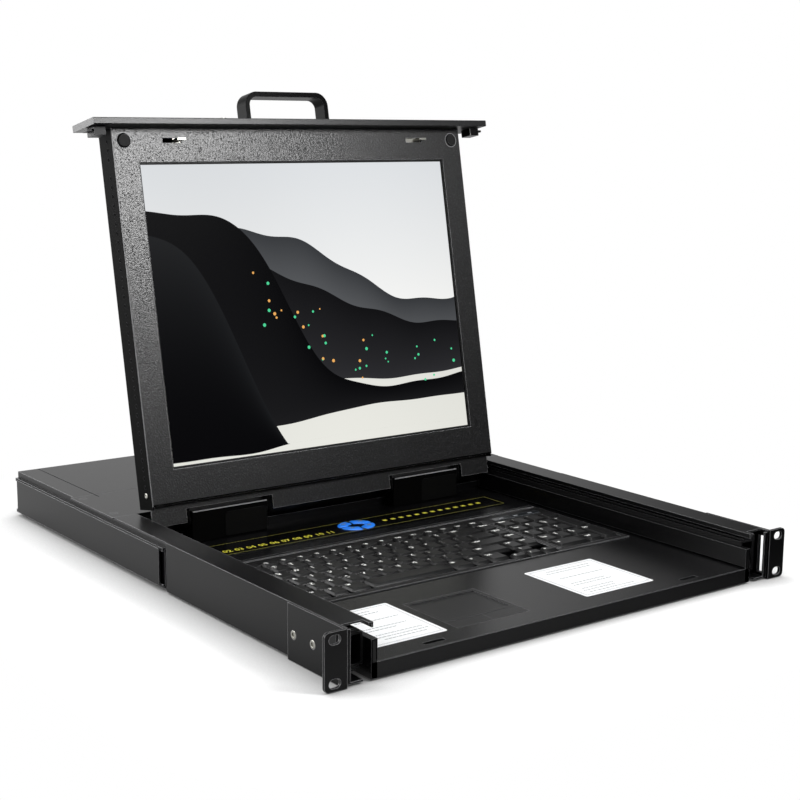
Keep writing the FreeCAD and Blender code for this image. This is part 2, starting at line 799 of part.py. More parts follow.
def console_ports():
    """A row of D-shaped computer ports, each with its two hex posts."""
    pieces = []
    for index in range(int(value("port_count"))):
        body = new_body(f"port_{index}")
        middle = f"port_first + {index} * port_pitch + port_pitch / 2"
        shell = [(f"{middle} - port_width / 2", "port_level + port_height / 2"),
                 (f"{middle} - port_width / 2 + port_taper", "port_level - port_height / 2"),
                 (f"{middle} + port_width / 2 - port_taper", "port_level - port_height / 2"),
                 (f"{middle} + port_width / 2", "port_level + port_height / 2")]
        pad(body, f"port_{index}_shell", "XZ_Plane", [shell], "body_depth - rear_sheet - port_depth",
            "body_depth + port_rise")
        posts = []
        for way in (-1, 1):
            centre = f"{middle} + {way} * port_screw_span / 2"
            hexagon = []
            for corner in range(6):
                angle = math.radians(60 * corner)
                hexagon.append((f"{centre} + {math.cos(angle):.6f} * port_post",
                                f"port_level + {math.sin(angle):.6f} * port_post"))
            posts.append(hexagon)
        pad(body, f"port_{index}_posts", "XZ_Plane", posts, "body_depth", "body_depth + port_rise - 1")
        pieces.append(body)
    return group("computer_ports", pieces, bench())


def power_inlet():
    """The mains inlet: a moulded body with its socket."""
    body = new_body("power_inlet")
    rim = around("inlet", "inlet_rim")
    inner = around("inlet", "0")
    pad(body, "power_inlet_rim", "XZ_Plane", [rim], "body_depth", "body_depth + inlet_rim")
    pad(body, "power_inlet_housing", "XZ_Plane", [inner], "body_depth - inlet_body", "body_depth + 0.5")
    socket = [("inlet_x - socket_width / 2", "port_level - socket_height / 2"),
              ("inlet_x + socket_width / 2", "port_level - socket_height / 2"),
              ("inlet_x + socket_width / 2", "port_level + socket_height / 2 - socket_corner"),
              ("inlet_x + socket_width / 2 - socket_corner", "port_level + socket_height / 2"),
              ("inlet_x - socket_width / 2 + socket_corner", "port_level + socket_height / 2"),
              ("inlet_x - socket_width / 2", "port_level + socket_height / 2 - socket_corner")]
    pocket(body, "power_inlet_socket", "XZ_Plane", [socket], "body_depth + inlet_rim - socket_depth",
           "body_depth + inlet_rim + 1")
    return finish(body, "power_inlet", bench())


def power_switch():
    """The frame of the rocker switch and its body behind the panel."""
    body = new_body("switch_frame")
    outer = around("rocker", "switch_rim")
    inner = around("rocker", "switch_wall")
    hole = around("rocker", "rocker_play")
    pad(body, "switch_frame_rim", "XZ_Plane", [outer], "body_depth", "body_depth + switch_rise")
    pad(body, "switch_frame_body", "XZ_Plane", [inner], "body_depth - switch_depth", "body_depth + 0.5")
    pocket(body, "switch_frame_hole", "XZ_Plane", [hole], "body_depth - rocker_room",
           "body_depth + switch_rise + 1")
    return finish(body, "switch_frame", bench())


def power_rocker():
    """The rocker, with its two faces at an angle and its pivot just inside the frame."""
    body = new_body("power_rocker")
    side = [("body_depth - rocker_back", "port_level - rocker_height / 2 + 2 * rocker_slant"),
            ("body_depth + rocker_tip", "port_level - rocker_height / 2 + rocker_slant"),
            ("body_depth + rocker_dip", "port_level"),
            ("body_depth + rocker_tip", "port_level + rocker_height / 2 - rocker_slant"),
            ("body_depth - rocker_back", "port_level + rocker_height / 2 - 2 * rocker_slant")]
    pad(body, "power_rocker_block", "YZ_Plane", [side], "rocker_x - rocker_width / 2",
        "rocker_x + rocker_width / 2")
    return finish(body, "power_rocker", bench())


def square_post(x, y):
    """The outline of a board's post about its middle."""
    half = "board_post_width / 2"
    return rectangle(f"{x} - {half}", f"{y} - {half}", f"{x} + {half}", f"{y} + {half}")


# Chips on the main board: shares of its width and depth to the corner, and of its depth to a side
MAIN_CHIPS = [(0.18, 0.52, 0.23), (0.46, 0.48, 0.19), (0.75, 0.5, 0.33)]


def main_board():
    """The switch board on its posts."""
    body = new_body("main_board")
    rear = "body_depth - rear_sheet - port_depth - board_gap"
    plan = rectangle("board_left", f"{rear} - board_depth", "board_right", rear)
    low = f"{BASE_TOP} + board_post"
    pad(body, "main_board_sheet", "XY_Plane", [plan], low, f"{low} + board_thickness")
    posts = []
    for x in ("board_left + board_post_inset", "board_right - board_post_inset"):
        for y in (f"{rear} - board_post_inset", f"{rear} - board_depth + board_post_inset"):
            posts.append(square_post(x, y))
    pad(body, "main_board_posts", "XY_Plane", posts, BASE_TOP, low)
    chips = []
    for across, back, size in MAIN_CHIPS:
        x = f"board_left + board_width * {across}"
        y = f"{rear} - board_depth * {back}"
        chips.append(rectangle(x, f"{y} - board_depth * {size}", f"{x} + board_depth * {size}", y))
    pad(body, "main_board_chips", "XY_Plane", chips, f"{low} + board_thickness",
        f"{low} + board_thickness * 3")
    return finish(body, "main_board", bench())


def power_supply():
    """The power supply in its sheet case, on the floor of the bay."""
    body = new_body("power_supply")
    rear = "body_depth - rear_sheet - inlet_body - supply_gap"
    plan = rectangle("supply_right - supply_width", f"{rear} - supply_depth", "supply_right", rear)
    pad(body, "power_supply_case", "XY_Plane", [plan], BASE_TOP, f"{BASE_TOP} + supply_height")
    return finish(body, "power_supply", bench())


def rail_guide(side):
    """The C guide of a rear mounting bar."""
    name = f"rail_guide_{side_name(side)}"
    body = new_body(name)
    outline = [("joggle_in", "guide_bottom"), ("body_half", "guide_bottom"),
               ("body_half", "guide_bottom + guide_lip"),
               ("body_half - guide_sheet", "guide_bottom + guide_lip"),
               ("body_half - guide_sheet", "guide_bottom + guide_sheet"),
               ("joggle_in + guide_sheet", "guide_bottom + guide_sheet"),
               ("joggle_in + guide_sheet", "guide_top - guide_sheet"),
               ("body_half - guide_sheet", "guide_top - guide_sheet"),
               ("body_half - guide_sheet", "guide_top - guide_lip"),
               ("body_half", "guide_top - guide_lip"), ("body_half", "guide_top"), ("joggle_in", "guide_top")]
    pad(body, name + "_section", "XZ_Plane", [mirrored(side, outline)], "guide_start", "body_depth")
    return finish(body, name, bench())


def rear_rail(side):
    """A rear mounting bar: a stepped flat bar with bolt slots at its back end."""
    name = f"rear_rail_{side_name(side)}"
    body = new_body(name)
    inner = "joggle_in + guide_sheet + bar_gap / 3"
    shoulder = "body_half - guide_sheet - bar_gap / 3"
    face = "body_half + bar_face"
    low = "guide_bottom + guide_sheet + bar_gap"
    high = "guide_top - guide_sheet - bar_gap"
    neck_low = "guide_bottom + guide_lip + bar_gap"
    neck_high = "guide_top - guide_lip - bar_gap"
    outline = [(inner, low), (shoulder, low), (shoulder, neck_low), (face, neck_low), (face, neck_high),
               (shoulder, neck_high), (shoulder, high), (inner, high)]
    pad(body, name + "_section", "XZ_Plane", [mirrored(side, outline)], "bar_start", "bar_end")
    low_x, high_x = ("body_half - 4", "body_half + 4") if side > 0 else ("-body_half - 4", "-body_half + 4")
    slots = []
    for count in range(2):
        slots.append(("slot", f"bar_end - bar_slot_first - {count} * bar_slot_pitch",
                      "(guide_bottom + guide_top) / 2", "bar_slot_x", "slot_width"))
    pocket(body, name + "_slots", "YZ_Plane", slots, low_x, high_x)
    return finish(body, name, bench())


def slide_outer(side):
    """The fixed member of a telescopic slide: a C section on the side wall."""
    name = f"slide_outer_{side_name(side)}"
    body = new_body(name)
    web = "joggle_in - steel"
    mouth = "tray_half + slide_step * 2"
    outline = [(web, "slide_bottom"), (web, "slide_top"), (mouth, "slide_top"), (mouth, "slide_top - steel"),
               (f"{web} - steel", "slide_top - steel"), (f"{web} - steel", "slide_bottom + steel"),
               (mouth, "slide_bottom + steel"), (mouth, "slide_bottom")]
    pad(body, name + "_section", "XZ_Plane", [mirrored(side, outline)], "slide_front", "slide_end")
    return finish(body, name, bench())


def slide_middle(side):
    """The middle member, a C section nested in the fixed one."""
    name = f"slide_middle_{side_name(side)}"
    body = new_body(name)
    web = "joggle_in - steel * 2 - slide_gap"
    mouth = "tray_half + slide_step"
    low = "slide_bottom + steel + slide_gap"
    high = "slide_top - steel - slide_gap"
    outline = [(web, low), (web, high), (mouth, high), (mouth, f"{high} - steel"),
               (f"{web} - steel", f"{high} - steel"), (f"{web} - steel", f"{low} + steel"),
               (mouth, f"{low} + steel"), (mouth, low)]
    pad(body, name + "_section", "XZ_Plane", [mirrored(side, outline)], "slide_front", "slide_end")
    return finish(body, name, bench())


def slide_inner(side):
    """The inner member on the tray wall, a C section that opens outwards."""
    name = f"slide_inner_{side_name(side)}"
    body = new_body(name)
    mouth = "joggle_in - steel * 3 - slide_gap * 2"
    low = "slide_bottom + steel * 2 + slide_gap * 2"
    high = "slide_top - steel * 2 - slide_gap * 2"
    outline = [("tray_half", low), (mouth, low), (mouth, f"{low} + steel"),
               ("tray_half + steel", f"{low} + steel"), ("tray_half + steel", f"{high} - steel"),
               (mouth, f"{high} - steel"), (mouth, high), ("tray_half", high)]
    pad(body, name + "_section", "XZ_Plane", [mirrored(side, outline)], "slide_front", "slide_end")
    return finish(body, name, bench())


def keyboard_tray():
    """The sliding pan: floor, double side walls with a hem, front lip and rear upstand."""
    body = new_body("keyboard_tray")
    thin = "thin_steel"
    right = [("tray_half", "tray_bottom"), ("tray_half", "tray_wall_top"), ("tray_inner", "tray_wall_top"),
             ("tray_inner", "tray_wall_top - tray_hem"), (f"tray_inner + {thin}", "tray_wall_top - tray_hem"),
             (f"tray_inner + {thin}", f"tray_wall_top - {thin}"),
             (f"tray_half - {thin}", f"tray_wall_top - {thin}"),
             (f"tray_half - {thin}", f"tray_bottom + {thin}")]
    left = [(f"-({x})", y) for x, y in reversed(right)]
    pad(body, "keyboard_tray_section", "XZ_Plane", [right + left], "tray_front", "tray_rear")
    lip = rectangle(f"-tray_half + {thin} / 2", "tray_bottom", f"tray_half - {thin} / 2", "deck_top")
    pad(body, "keyboard_tray_lip", "XZ_Plane", [lip], "tray_front", f"tray_front + {thin}")
    back = rectangle(f"-tray_half + {thin} / 2", "tray_bottom", f"tray_half - {thin} / 2", "tray_rear_top")
    pad(body, "keyboard_tray_back", "XZ_Plane", [back], f"tray_rear - {thin}", "tray_rear")
    return finish(body, "keyboard_tray", bench())


def deck_plate():
    """The palm rest and deck: one folded plate with openings for what it carries."""
    body = new_body("deck_plate")
    edge = "tray_inner - deck_gap"
    front = "tray_front + thin_steel + deck_gap"
    rear = "tray_rear - thin_steel - deck_gap"
    floor = "tray_bottom + thin_steel"
    fold = [(f"-({edge})", floor), (f"-({edge})", "deck_top"), (edge, "deck_top"), (edge, floor),
            (f"{edge} - thin_steel", floor), (f"{edge} - thin_steel", "deck_top - thin_steel"),
            (f"-({edge}) + thin_steel", "deck_top - thin_steel"), (f"-({edge}) + thin_steel", floor)]
    pad(body, "deck_plate_fold", "XZ_Plane", [fold], front, rear)
    hole = "(frame_flange - frame_clearance)"
    openings = [rectangle(f"frame_left + {hole}", f"frame_front + {hole}", f"frame_right - {hole}",
                          f"frame_rear - {hole}"),
                rectangle("touch_left - button_gap", "button_front - button_gap",
                          "touch_right + button_gap", "touch_rear + button_gap")]
    slot_front = "pivot_y - hinge_below - hook_height - hook_slot_width / 2"
    slot_end = "hook_slot_inner + hook_slot_length"
    for side in (-1, 1):
        openings.append(mirrored(side, rectangle("hook_slot_inner", slot_front, slot_end,
                                                 f"{slot_front} + hook_slot_width")))
    pocket(body, "deck_plate_openings", "XY_Plane", openings, "deck_top - thin_steel - 1", "deck_top + 1")
    return finish(body, "deck_plate", bench())


def keyboard_frame():
    """The moulded surround of the keys, dropped into the deck, with a ridge along its back."""
    body = new_body("keyboard_frame")
    skirt = "frame_flange"
    inner = rectangle(f"frame_left + {skirt}", f"frame_front + {skirt}", f"frame_right - {skirt}",
                      f"frame_rear - {skirt}")
    outer = rectangle("frame_left", "frame_front", "frame_right", "frame_rear")
    pad(body, "keyboard_frame_skirt", "XY_Plane", [inner], "frame_bottom", "deck_top + 0.5")
    pad(body, "keyboard_frame_flange", "XY_Plane", [outer], "deck_top", "frame_top")
    ridge = rectangle("frame_left + 3", "frame_rear - ridge_depth", "frame_right - 3", "frame_rear - 1")
    pad(body, "keyboard_frame_ridge", "XY_Plane", [ridge], "frame_top", "frame_top + ridge_rise")
    bar = rectangle("keys_right + divider_gap", "keys_front", "pad_keys_left - divider_gap", "function_rear")
    pad(body, "keyboard_frame_bar", "XY_Plane", [bar], "frame_top", "frame_top + divider_rise")
    keys = rectangle("keys_left - key_gap / 2", "keys_front - key_gap / 2", "keys_right + key_gap / 2",
                     "function_rear")
    arrows = rectangle("keys_right - 3 * key_width - key_gap / 2", "keys_front - arrow_drop + key_gap / 2",
                       "keys_right + key_gap / 2", "keys_front")
    numbers = rectangle("pad_keys_left - key_gap / 2", "keys_front - key_gap / 2",
                        "pad_keys_right + key_gap / 2", "keys_rear + key_gap / 2")
    pocket(body, "keyboard_frame_window", "XY_Plane", [keys], "frame_bottom - 1", "frame_top + 3")
    pocket(body, "keyboard_frame_arrow_bay", "XY_Plane", [arrows], "frame_bottom - 1", "frame_top + 3")
    pocket(body, "keyboard_frame_pad_window", "XY_Plane", [numbers], "frame_bottom - 1", "frame_top + 3")
    lens = rectangle("lens_left", "lens_front", "lens_right", "lens_rear")
    pocket(body, "keyboard_frame_lens_seat", "XY_Plane", [lens], "frame_top - lens_sink", "frame_top + 1")
    return finish(body, "keyboard_frame", bench())


def keyboard_base():
    """The stiff plate under the keys, on two rails that stand on the tray."""
    body = new_body("keyboard_base")
    rim = "frame_flange"
    plan = rectangle(f"frame_left + {rim}", f"frame_front + {rim}", f"frame_right - {rim}",
                     f"frame_rear - {rim}")
    pad(body, "keyboard_base_plate", "XY_Plane", [plan], "frame_bottom - base_plate", "frame_bottom")
    rails = []
    for low in ("frame_front + rail_inset", "frame_rear - rail_inset - rail_width"):
        rails.append(rectangle("frame_left + rail_width", low, "frame_right - rail_width",
                               f"{low} + rail_width"))
    pad(body, "keyboard_base_rails", "XY_Plane", rails, "tray_bottom + thin_steel",
        "frame_bottom - base_plate")
    return finish(body, "keyboard_base", bench())


def key_cap(name, left, right, front, rear):
    """A tapered key cap on its plunger, whose sides are given as expressions."""
    cap = doc.addObject("Part::Wedge", name + "_cap")
    gap = "key_gap / 2"
    bind(cap, "Xmin", f"{left} + {gap}")
    bind(cap, "Xmax", f"{right} - {gap}")
    bind(cap, "Zmin", f"-({rear}) + {gap}")
    bind(cap, "Zmax", f"-({front}) - {gap}")
    bind(cap, "Ymin", "key_bottom")
    bind(cap, "Ymax", "key_top")
    bind(cap, "X2min", f"{left} + {gap} + key_taper")
    bind(cap, "X2max", f"{right} - {gap} - key_taper")
    bind(cap, "Z2min", f"-({rear}) + {gap} + key_taper * 0.4")
    bind(cap, "Z2max", f"-({front}) - {gap} - key_taper * 1.3")
    cap.Placement.Rotation = FreeCAD.Rotation(Vector(1, 0, 0), 90)
    return cap


def key_row(name, start, unit, widths, front, rear):
    """Caps side by side from a left edge; each width is in key units, and None leaves a gap of one."""
    caps = []
    place = 0.0
    for width in widths:
        if width is None:
            place += 1.0
            continue
        caps.append(key_cap(f"{name}_{len(caps)}", f"{start} + {place} * {unit}",
                            f"{start} + {place + width} * {unit}", front, rear))
        place += width
    return caps


def row_front(number):
    return f"keys_front + {number} * key_pitch"


def keys():
    """The six groups of keys, row by row from the front."""
    top = key_row("function", "keys_left", "key_width", [1] * KEY_COLUMNS, "keys_rear", "function_rear")
    group("function_keys", top, bench())
    typing = []
    rows = {1: [2, 1, 1, 1, 1, 1, 1, 1, 1, 1, 1, 2, 1],
            2: [1.75, 1, 1, 1, 1, 1, 1, 1, 1, 1, 1, 1, 2.25],
            3: [1.5, 1, 1, 1, 1, 1, 1, 1, 1, 1, 1, 1, 1, 1.5],
            4: [1, 1, 1, 1, 1, 1, 1, 1, 1, 1, 1, 1, 1, 2]}
    for number, widths in rows.items():
        typing += key_row(f"row_{number}", "keys_left", "key_width", widths, row_front(number),
                          row_front(number + 1))
    front = row_front(0)
    typing += key_row("row_0", "keys_left", "key_width", [1.25, 1, 1, 1.25], front, row_front(1))
    typing += key_row("row_0_right", "keys_left + 9.5 * key_width", "key_width", [1.25, 1, 1.25], front,
                      row_front(1))
    group("typing_keys", typing, bench())
    space = key_row("space", "keys_left + 4.5 * key_width", "key_width", [5], front, row_front(1))
    group("space_bar", space, bench())
    column = []
    for number in (1, 2, 3, 4):
        column += key_row(f"column_{number}", "keys_left + 15 * key_width", "key_width", [1],
                          row_front(number), row_front(number + 1))
    group("navigation_keys", column, bench())
    middle = "keys_front + key_pitch / 2 - arrow_drop / 2"
    low = "keys_front - arrow_drop + key_gap"
    arrows = key_row("arrow_low", "keys_left + 13 * key_width", "key_width", [1, 1, 1], low, middle)
    arrows += key_row("arrow_up", "keys_left + 13 * key_width", "key_width", [None, 1], middle, row_front(1))
    group("arrow_keys", arrows, bench())
    numbers = []
    pads = {0: [2, 1], 1: [1, 1, 1], 2: [1, 1, 1], 3: [1, 1, 1], 4: [1, 1, 1, 1]}
    for number, widths in pads.items():
        numbers += key_row(f"pad_{number}", "pad_keys_left", "pad_key_width", widths, row_front(number),
                           row_front(number + 1))
    for number, low_row in ((0, 0), (1, 2)):
        numbers += key_row(f"pad_tall_{number}", "pad_keys_left + 3 * pad_key_width", "pad_key_width", [1],
                           row_front(low_row), row_front(low_row + 2))
    group("number_pad_keys", numbers, bench())


def indicator_lens():
    """The clear window over the three lock lights."""
    body = new_body("indicator_lens")
    plan = rectangle("lens_left + 0.1", "lens_front + 0.1", "lens_right - 0.1", "lens_rear - 0.1")
    pad(body, "indicator_lens_plate", "XY_Plane", [plan], "frame_top - lens_sink", "frame_top + lens_rise")
    soften(body, "indicator_lens_ends", "lens_round", lambda edge: runs_along(edge, Vector(0, 0, 1)))
    return finish(body, "indicator_lens", bench())


def touchpad():
    """The pointing pad: a rim level with the deck, a sunken surface and the floor under the buttons."""
    body = new_body("touchpad")
    low = "deck_top - touch_depth"
    plan = rectangle("touch_left", "touch_front", "touch_right", "touch_rear")
    pad(body, "touchpad_rim", "XY_Plane", [plan], low, "deck_top")
    surface = rectangle("touch_left + touch_rim", "touch_front + touch_rim", "touch_right - touch_rim",
                        "touch_rear - touch_rim")
    pocket(body, "touchpad_surface", "XY_Plane", [surface], "deck_top - touch_recess", "deck_top + 1")
    floor = rectangle("touch_left", "button_front", "touch_right", "touch_front + 1")
    pad(body, "touchpad_floor", "XY_Plane", [floor], low, f"{low} + touch_floor")
    feet = []
    for x in ("touch_left + touch_foot_inset", "touch_right - touch_foot_inset - touch_foot"):
        for y in ("button_front + touch_foot_inset", "touch_rear - touch_foot_inset - touch_foot"):
            feet.append(rectangle(x, y, f"{x} + touch_foot", f"{y} + touch_foot"))
    pad(body, "touchpad_feet", "XY_Plane", feet, "tray_bottom + thin_steel", low)
    return finish(body, "touchpad", bench())


def touch_button(side):
    """One of the two buttons in front of the pad."""
    name = f"touch_button_{side_name(side)}"
    body = new_body(name)
    if side < 0:
        left, right = "touch_left", "touch_x - button_gap / 2"
    else:
        left, right = "touch_x + button_gap / 2", "touch_right"
    plan = rectangle(left, "button_front", right, "touch_front - button_gap")
    pad(body, name + "_cap", "XY_Plane", [plan], "deck_top - button_height", "deck_top")
    top = value("deck_top")
    soften(body, name + "_edge", "button_round",
           lambda edge: runs_along(edge, Vector(1, 0, 0)) and edge.CenterOfMass.z > top - 0.01)
    return finish(body, name, bench())


def control_panel():
    """The overlay strip behind the keys."""
    body = new_body("control_panel")
    plan = rectangle("-strip_half", "strip_front", "strip_half", "strip_rear")
    pad(body, "control_panel_strip", "XY_Plane", [plan], "deck_top", "deck_top + strip_thickness")
    return finish(body, "control_panel", bench())


def control_pad():
    """The ring of four screen-menu pads on the strip."""
    body = new_body("control_pad")
    low = "deck_top + strip_thickness"
    middle = "(strip_front + strip_rear) / 2"
    ring = [("circle", "ring_x", middle, "ring_radius"), ("circle", "ring_x", middle, "ring_hole")]
    pad(body, "control_pad_ring", "XY_Plane", ring, low, f"{low} + ring_rise")
    cross = [rectangle("ring_x - ring_radius - 1", f"{middle} - ring_gap / 2", "ring_x + ring_radius + 1",
                       f"{middle} + ring_gap / 2")]
    pocket(body, "control_pad_cut", "XY_Plane", cross, low, f"{low} + ring_rise + 1")
    post = [rectangle("ring_x - ring_gap / 2", f"{middle} - ring_radius - 1", "ring_x + ring_gap / 2",
                      f"{middle} + ring_radius + 1")]
    pocket(body, "control_pad_cross", "XY_Plane", post, low, f"{low} + ring_rise + 1")
    return finish(body, "control_pad", bench())


def hinge_block(side):
    """A hinge housing that stands on the deck and holds the pin."""
    name = f"hinge_block_{side_name(side)}"
    body = new_body(name)
    outline = [("block_front", "deck_top"), ("block_rear", "deck_top"), ("block_rear", "block_top"),
               ("block_front", "block_top")]
    hole = ("circle", "pivot_y", "pivot_height", "pin_radius")
    low, high = ("block_inner", "block_outer") if side > 0 else ("-block_outer", "-block_inner")
    pad(body, name + "_section", "YZ_Plane", [outline, hole], low, high)
    top = value("block_top")
    soften(body, name + "_top", "block_round",
           lambda edge: runs_along(edge, Vector(1, 0, 0)) and edge.CenterOfMass.z > top - 0.01)
    return finish(body, name, bench())


def hinge_pins():
    """A steel pin through each hinge block, long enough for the lid's arms on both sides."""
    pins = []
    reach = "arm_width + arm_gap + 1"
    length = f"block_width + 2 * ({reach})"
    for side, start in ((-1, f"-block_outer - ({reach})"), (1, f"block_inner - ({reach})")):
        pins.append(cylinder(f"hinge_pin_{side_name(side)}", "pin_radius", length, start, "pivot_y",
                             "pivot_height", "x"))
    return group("hinge_pins", pins, bench())


def lid_bezel():
    """The face frame of the lid with its window, the return at its foot and the notched apron."""
    body = new_body("lid_bezel")
    face = rectangle("-lid_half", 0, "lid_half", "lid_height")
    gap = "screen_gap"
    window = rectangle(f"-screen_width / 2 - {gap}", f"screen_bottom - {gap}", f"screen_width / 2 + {gap}",
                       f"screen_bottom + screen_height + {gap}")
    pad(body, "lid_bezel_face", "XZ_Plane", [face], 0, "lid_sheet")
    pocket(body, "lid_bezel_window", "XZ_Plane", [window], -1, "lid_sheet + 1")
    back = "apron_front + lid_sheet"
    fold = [("lid_sheet / 2", 0), (back, 0), (back, "-apron_drop"), ("apron_front", "-apron_drop"),
            ("apron_front", "-lid_sheet"), ("lid_sheet / 2", "-lid_sheet")]
    fold = [(w, f"({u}) + lid_sheet") for w, u in fold]
    inside = "lid_half - lid_sheet - deck_gap"
    pad(body, "lid_bezel_apron", "YZ_Plane", [fold], f"-({inside})", inside)
    notches = []
    for side in (-1, 1):
        notches.append(mirrored(side, rectangle("block_inner - notch_margin", "-apron_drop - 1",
                                                "block_outer + notch_margin", "-apron_top")))
    pocket(body, "lid_bezel_notches", "XZ_Plane", notches, "apron_front - 1", f"{back} + 1")
    slots = []
    for side in (-1, 1):
        slots.append(mirrored(side, rectangle("hook_slot_inner", "hook_height - hook_slot_width / 2",
                                              "hook_slot_inner + hook_slot_length",
                                              "hook_height + hook_slot_width / 2")))
    pocket(body, "lid_bezel_hook_slots", "XZ_Plane", slots, -1, "lid_sheet + 1")
    return finish(body, "lid_bezel", leaned())


def knob_slot():
    """Room for the stem of the latch knob over its travel to the left."""
    half = "(knob_stem / 2 + knob_play)"
    return rectangle(f"knob_x - {half} - latch_travel", f"knob_depth - {half}", f"knob_x + {half}",
                     f"knob_depth + {half}")


def lid_shell():
    """The back pan of the lid: back, side walls, top wall and a foot wall behind the apron."""
    body = new_body("lid_shell")
    outer = rectangle("-lid_half", "-lid_skirt", "lid_half", "lid_height")
    pad(body, "lid_shell_block", "XZ_Plane", [outer], "lid_sheet", "lid_depth")
    inner = rectangle("-lid_half + lid_sheet", "-lid_skirt + lid_sheet", "lid_half - lid_sheet",
                      "lid_height - lid_sheet")
    pocket(body, "lid_shell_hollow", "XZ_Plane", [inner], "lid_sheet - 1", "lid_depth - lid_sheet")
    foot = rectangle("-lid_half + lid_sheet", "-lid_skirt - 1", "lid_half - lid_sheet",
                     "-lid_skirt + lid_sheet + 1")
    pocket(body, "lid_shell_foot_room", "XZ_Plane", [foot], "lid_sheet - 1",
           "apron_front + lid_sheet + deck_gap")
    pocket(body, "lid_shell_knob_slot", "XY_Plane", [knob_slot()], "lid_height - lid_sheet - 1",
           "lid_height + 1")
    return finish(body, "lid_shell", leaned())


def lcd_panel():
    """The screen module: a shallow metal frame with the glass sunk into its front."""
    body = new_body("lcd_panel")
    border = "panel_border"
    outer = rectangle(f"-screen_width / 2 - {border}", f"screen_bottom - {border}",
                      f"screen_width / 2 + {border}", f"screen_bottom + screen_height + {border}")
    pad(body, "lcd_panel_module", "XZ_Plane", [outer], "lid_sheet", "lid_sheet + panel_depth")
    glass = rectangle("-screen_width / 2", "screen_bottom", "screen_width / 2",
                      "screen_bottom + screen_height")
    pocket(body, "lcd_panel_glass", "XZ_Plane", [glass], "lid_sheet - 1", "lid_sheet + glass_recess")
    return finish(body, "lcd_panel", leaned())


def driver_board():
    """The screen's driver board on posts from the back of the lid."""
    body = new_body("driver_board")
    back = "lid_depth - lid_sheet"
    plan = rectangle("driver_left", "driver_low", "driver_right", "driver_high")
    pad(body, "driver_board_sheet", "XZ_Plane", [plan], f"{back} - driver_post - board_thickness",
        f"{back} - driver_post")
    posts = []
    for x in ("driver_left + board_post_inset", "driver_right - board_post_inset"):
        for u in ("driver_low + board_post_inset", "driver_high - board_post_inset"):
            posts.append(square_post(x, u))
    pad(body, "driver_board_posts", "XZ_Plane", posts, f"{back} - driver_post", back)
    return finish(body, "driver_board", leaned())


def hinge_arms():
    """Four arms under the foot of the lid that turn on the pins."""
    body = new_body("hinge_arms")
    pivot = ("circle", "hinge_behind", "-hinge_below", "arm_round")
    front, back = "hinge_behind - arm_round + 0.2", "hinge_behind + arm_round - 0.2"
    web = rectangle(front, "-hinge_below", back, "-lid_skirt")
    for side in (-1, 1):
        for edge, way in (("block_inner", -1), ("block_outer", 1)):
            name = f"hinge_arm_{side_name(side)}_{edge[6:]}"
            near = f"{side} * ({edge} + {way} * arm_gap)"
            far = f"{side} * ({edge} + {way} * (arm_gap + arm_width))"
            low, high = (near, far) if side * way > 0 else (far, near)
            pad(body, name, "YZ_Plane", [web], low, high)
            pad(body, name + "_eye", "YZ_Plane", [pivot], low, high)
            tip = f"{side} * ({edge} + {way} * (arm_gap + arm_width + arm_foot))"
            low, high = (near, tip) if side * way > 0 else (tip, near)
            sole = rectangle(front, "-lid_skirt - arm_sole", back, "-lid_skirt")
            pad(body, name + "_foot", "YZ_Plane", [sole], low, high)
    bore = ("circle", "hinge_behind", "-hinge_below", "pin_radius + pin_play")
    pocket(body, "hinge_arm_bores", "YZ_Plane", [bore], "-body_half", "body_half")
    return finish(body, "hinge_arms", leaned())


def fascia():
    """The front panel across the head of the lid."""
    body = new_body("fascia")
    plan = rectangle("-fascia_half", "-fascia_ahead", "fascia_half", "fascia_behind")
    pad(body, "fascia_plate", "XY_Plane", [plan], "lid_height", "fascia_top")
    pocket(body, "fascia_knob_slot", "XY_Plane", [knob_slot()], "lid_height - 1", "fascia_top + 1")
    front = value("-fascia_ahead")
    soften(body, "fascia_front_edges", "fascia_round",
           lambda edge: runs_along(edge, Vector(1, 0, 0)) and abs(edge.CenterOfMass.y - front) < 0.01)
    return finish(body, "fascia", leaned())


def handle():
    """The flat bar handle, bent to a U."""
    body = new_body("handle")
    outer_left = "handle_x - handle_width / 2"
    outer_right = "handle_x + handle_width / 2"
    foot = "fascia_top"
    top = f"{foot} + handle_height"
    bow = [(outer_left, foot), (outer_left, top), (outer_right, top), (outer_right, foot),
           (f"{outer_right} - handle_bar", foot), (f"{outer_right} - handle_bar", f"{top} - handle_bar"),
           (f"{outer_left} + handle_bar", f"{top} - handle_bar"), (f"{outer_left} + handle_bar", foot)]
    pad(body, "handle_bow", "XZ_Plane", [bow], "handle_front", "handle_front + handle_depth")
    height = value(top)
    inner = value(f"{top} - handle_bar")
    soften(body, "handle_outer_bend", "handle_round",
           lambda edge: runs_along(edge, Vector(0, 1, 0)) and abs(edge.CenterOfMass.z - height) < 0.01)
    soften(body, "handle_inner_bend", "handle_round - handle_bar",
           lambda edge: runs_along(edge, Vector(0, 1, 0)) and abs(edge.CenterOfMass.z - inner) < 0.01)
    return finish(body, "handle", leaned())


def bumpers():
    """Two rubber buttons at the head of the bezel."""
    buttons = []
    for side in (-1, 1):
        button = doc.addObject("Part::Cone", f"bumper_{side_name(side)}")
        bind(button, "Radius1", "bumper_radius")
        bind(button, "Radius2", "bumper_radius - 0.8")
        bind(button, "Height", "bumper_rise")
        button.Placement.Rotation = FreeCAD.Rotation(Vector(1, 0, 0), 90)
        bind(button, "Placement.Base.x", f"{side} * bumper_x")
        bind(button, "Placement.Base.z", "hook_height")
        buttons.append(button)
    return group("bumpers", buttons, leaned())


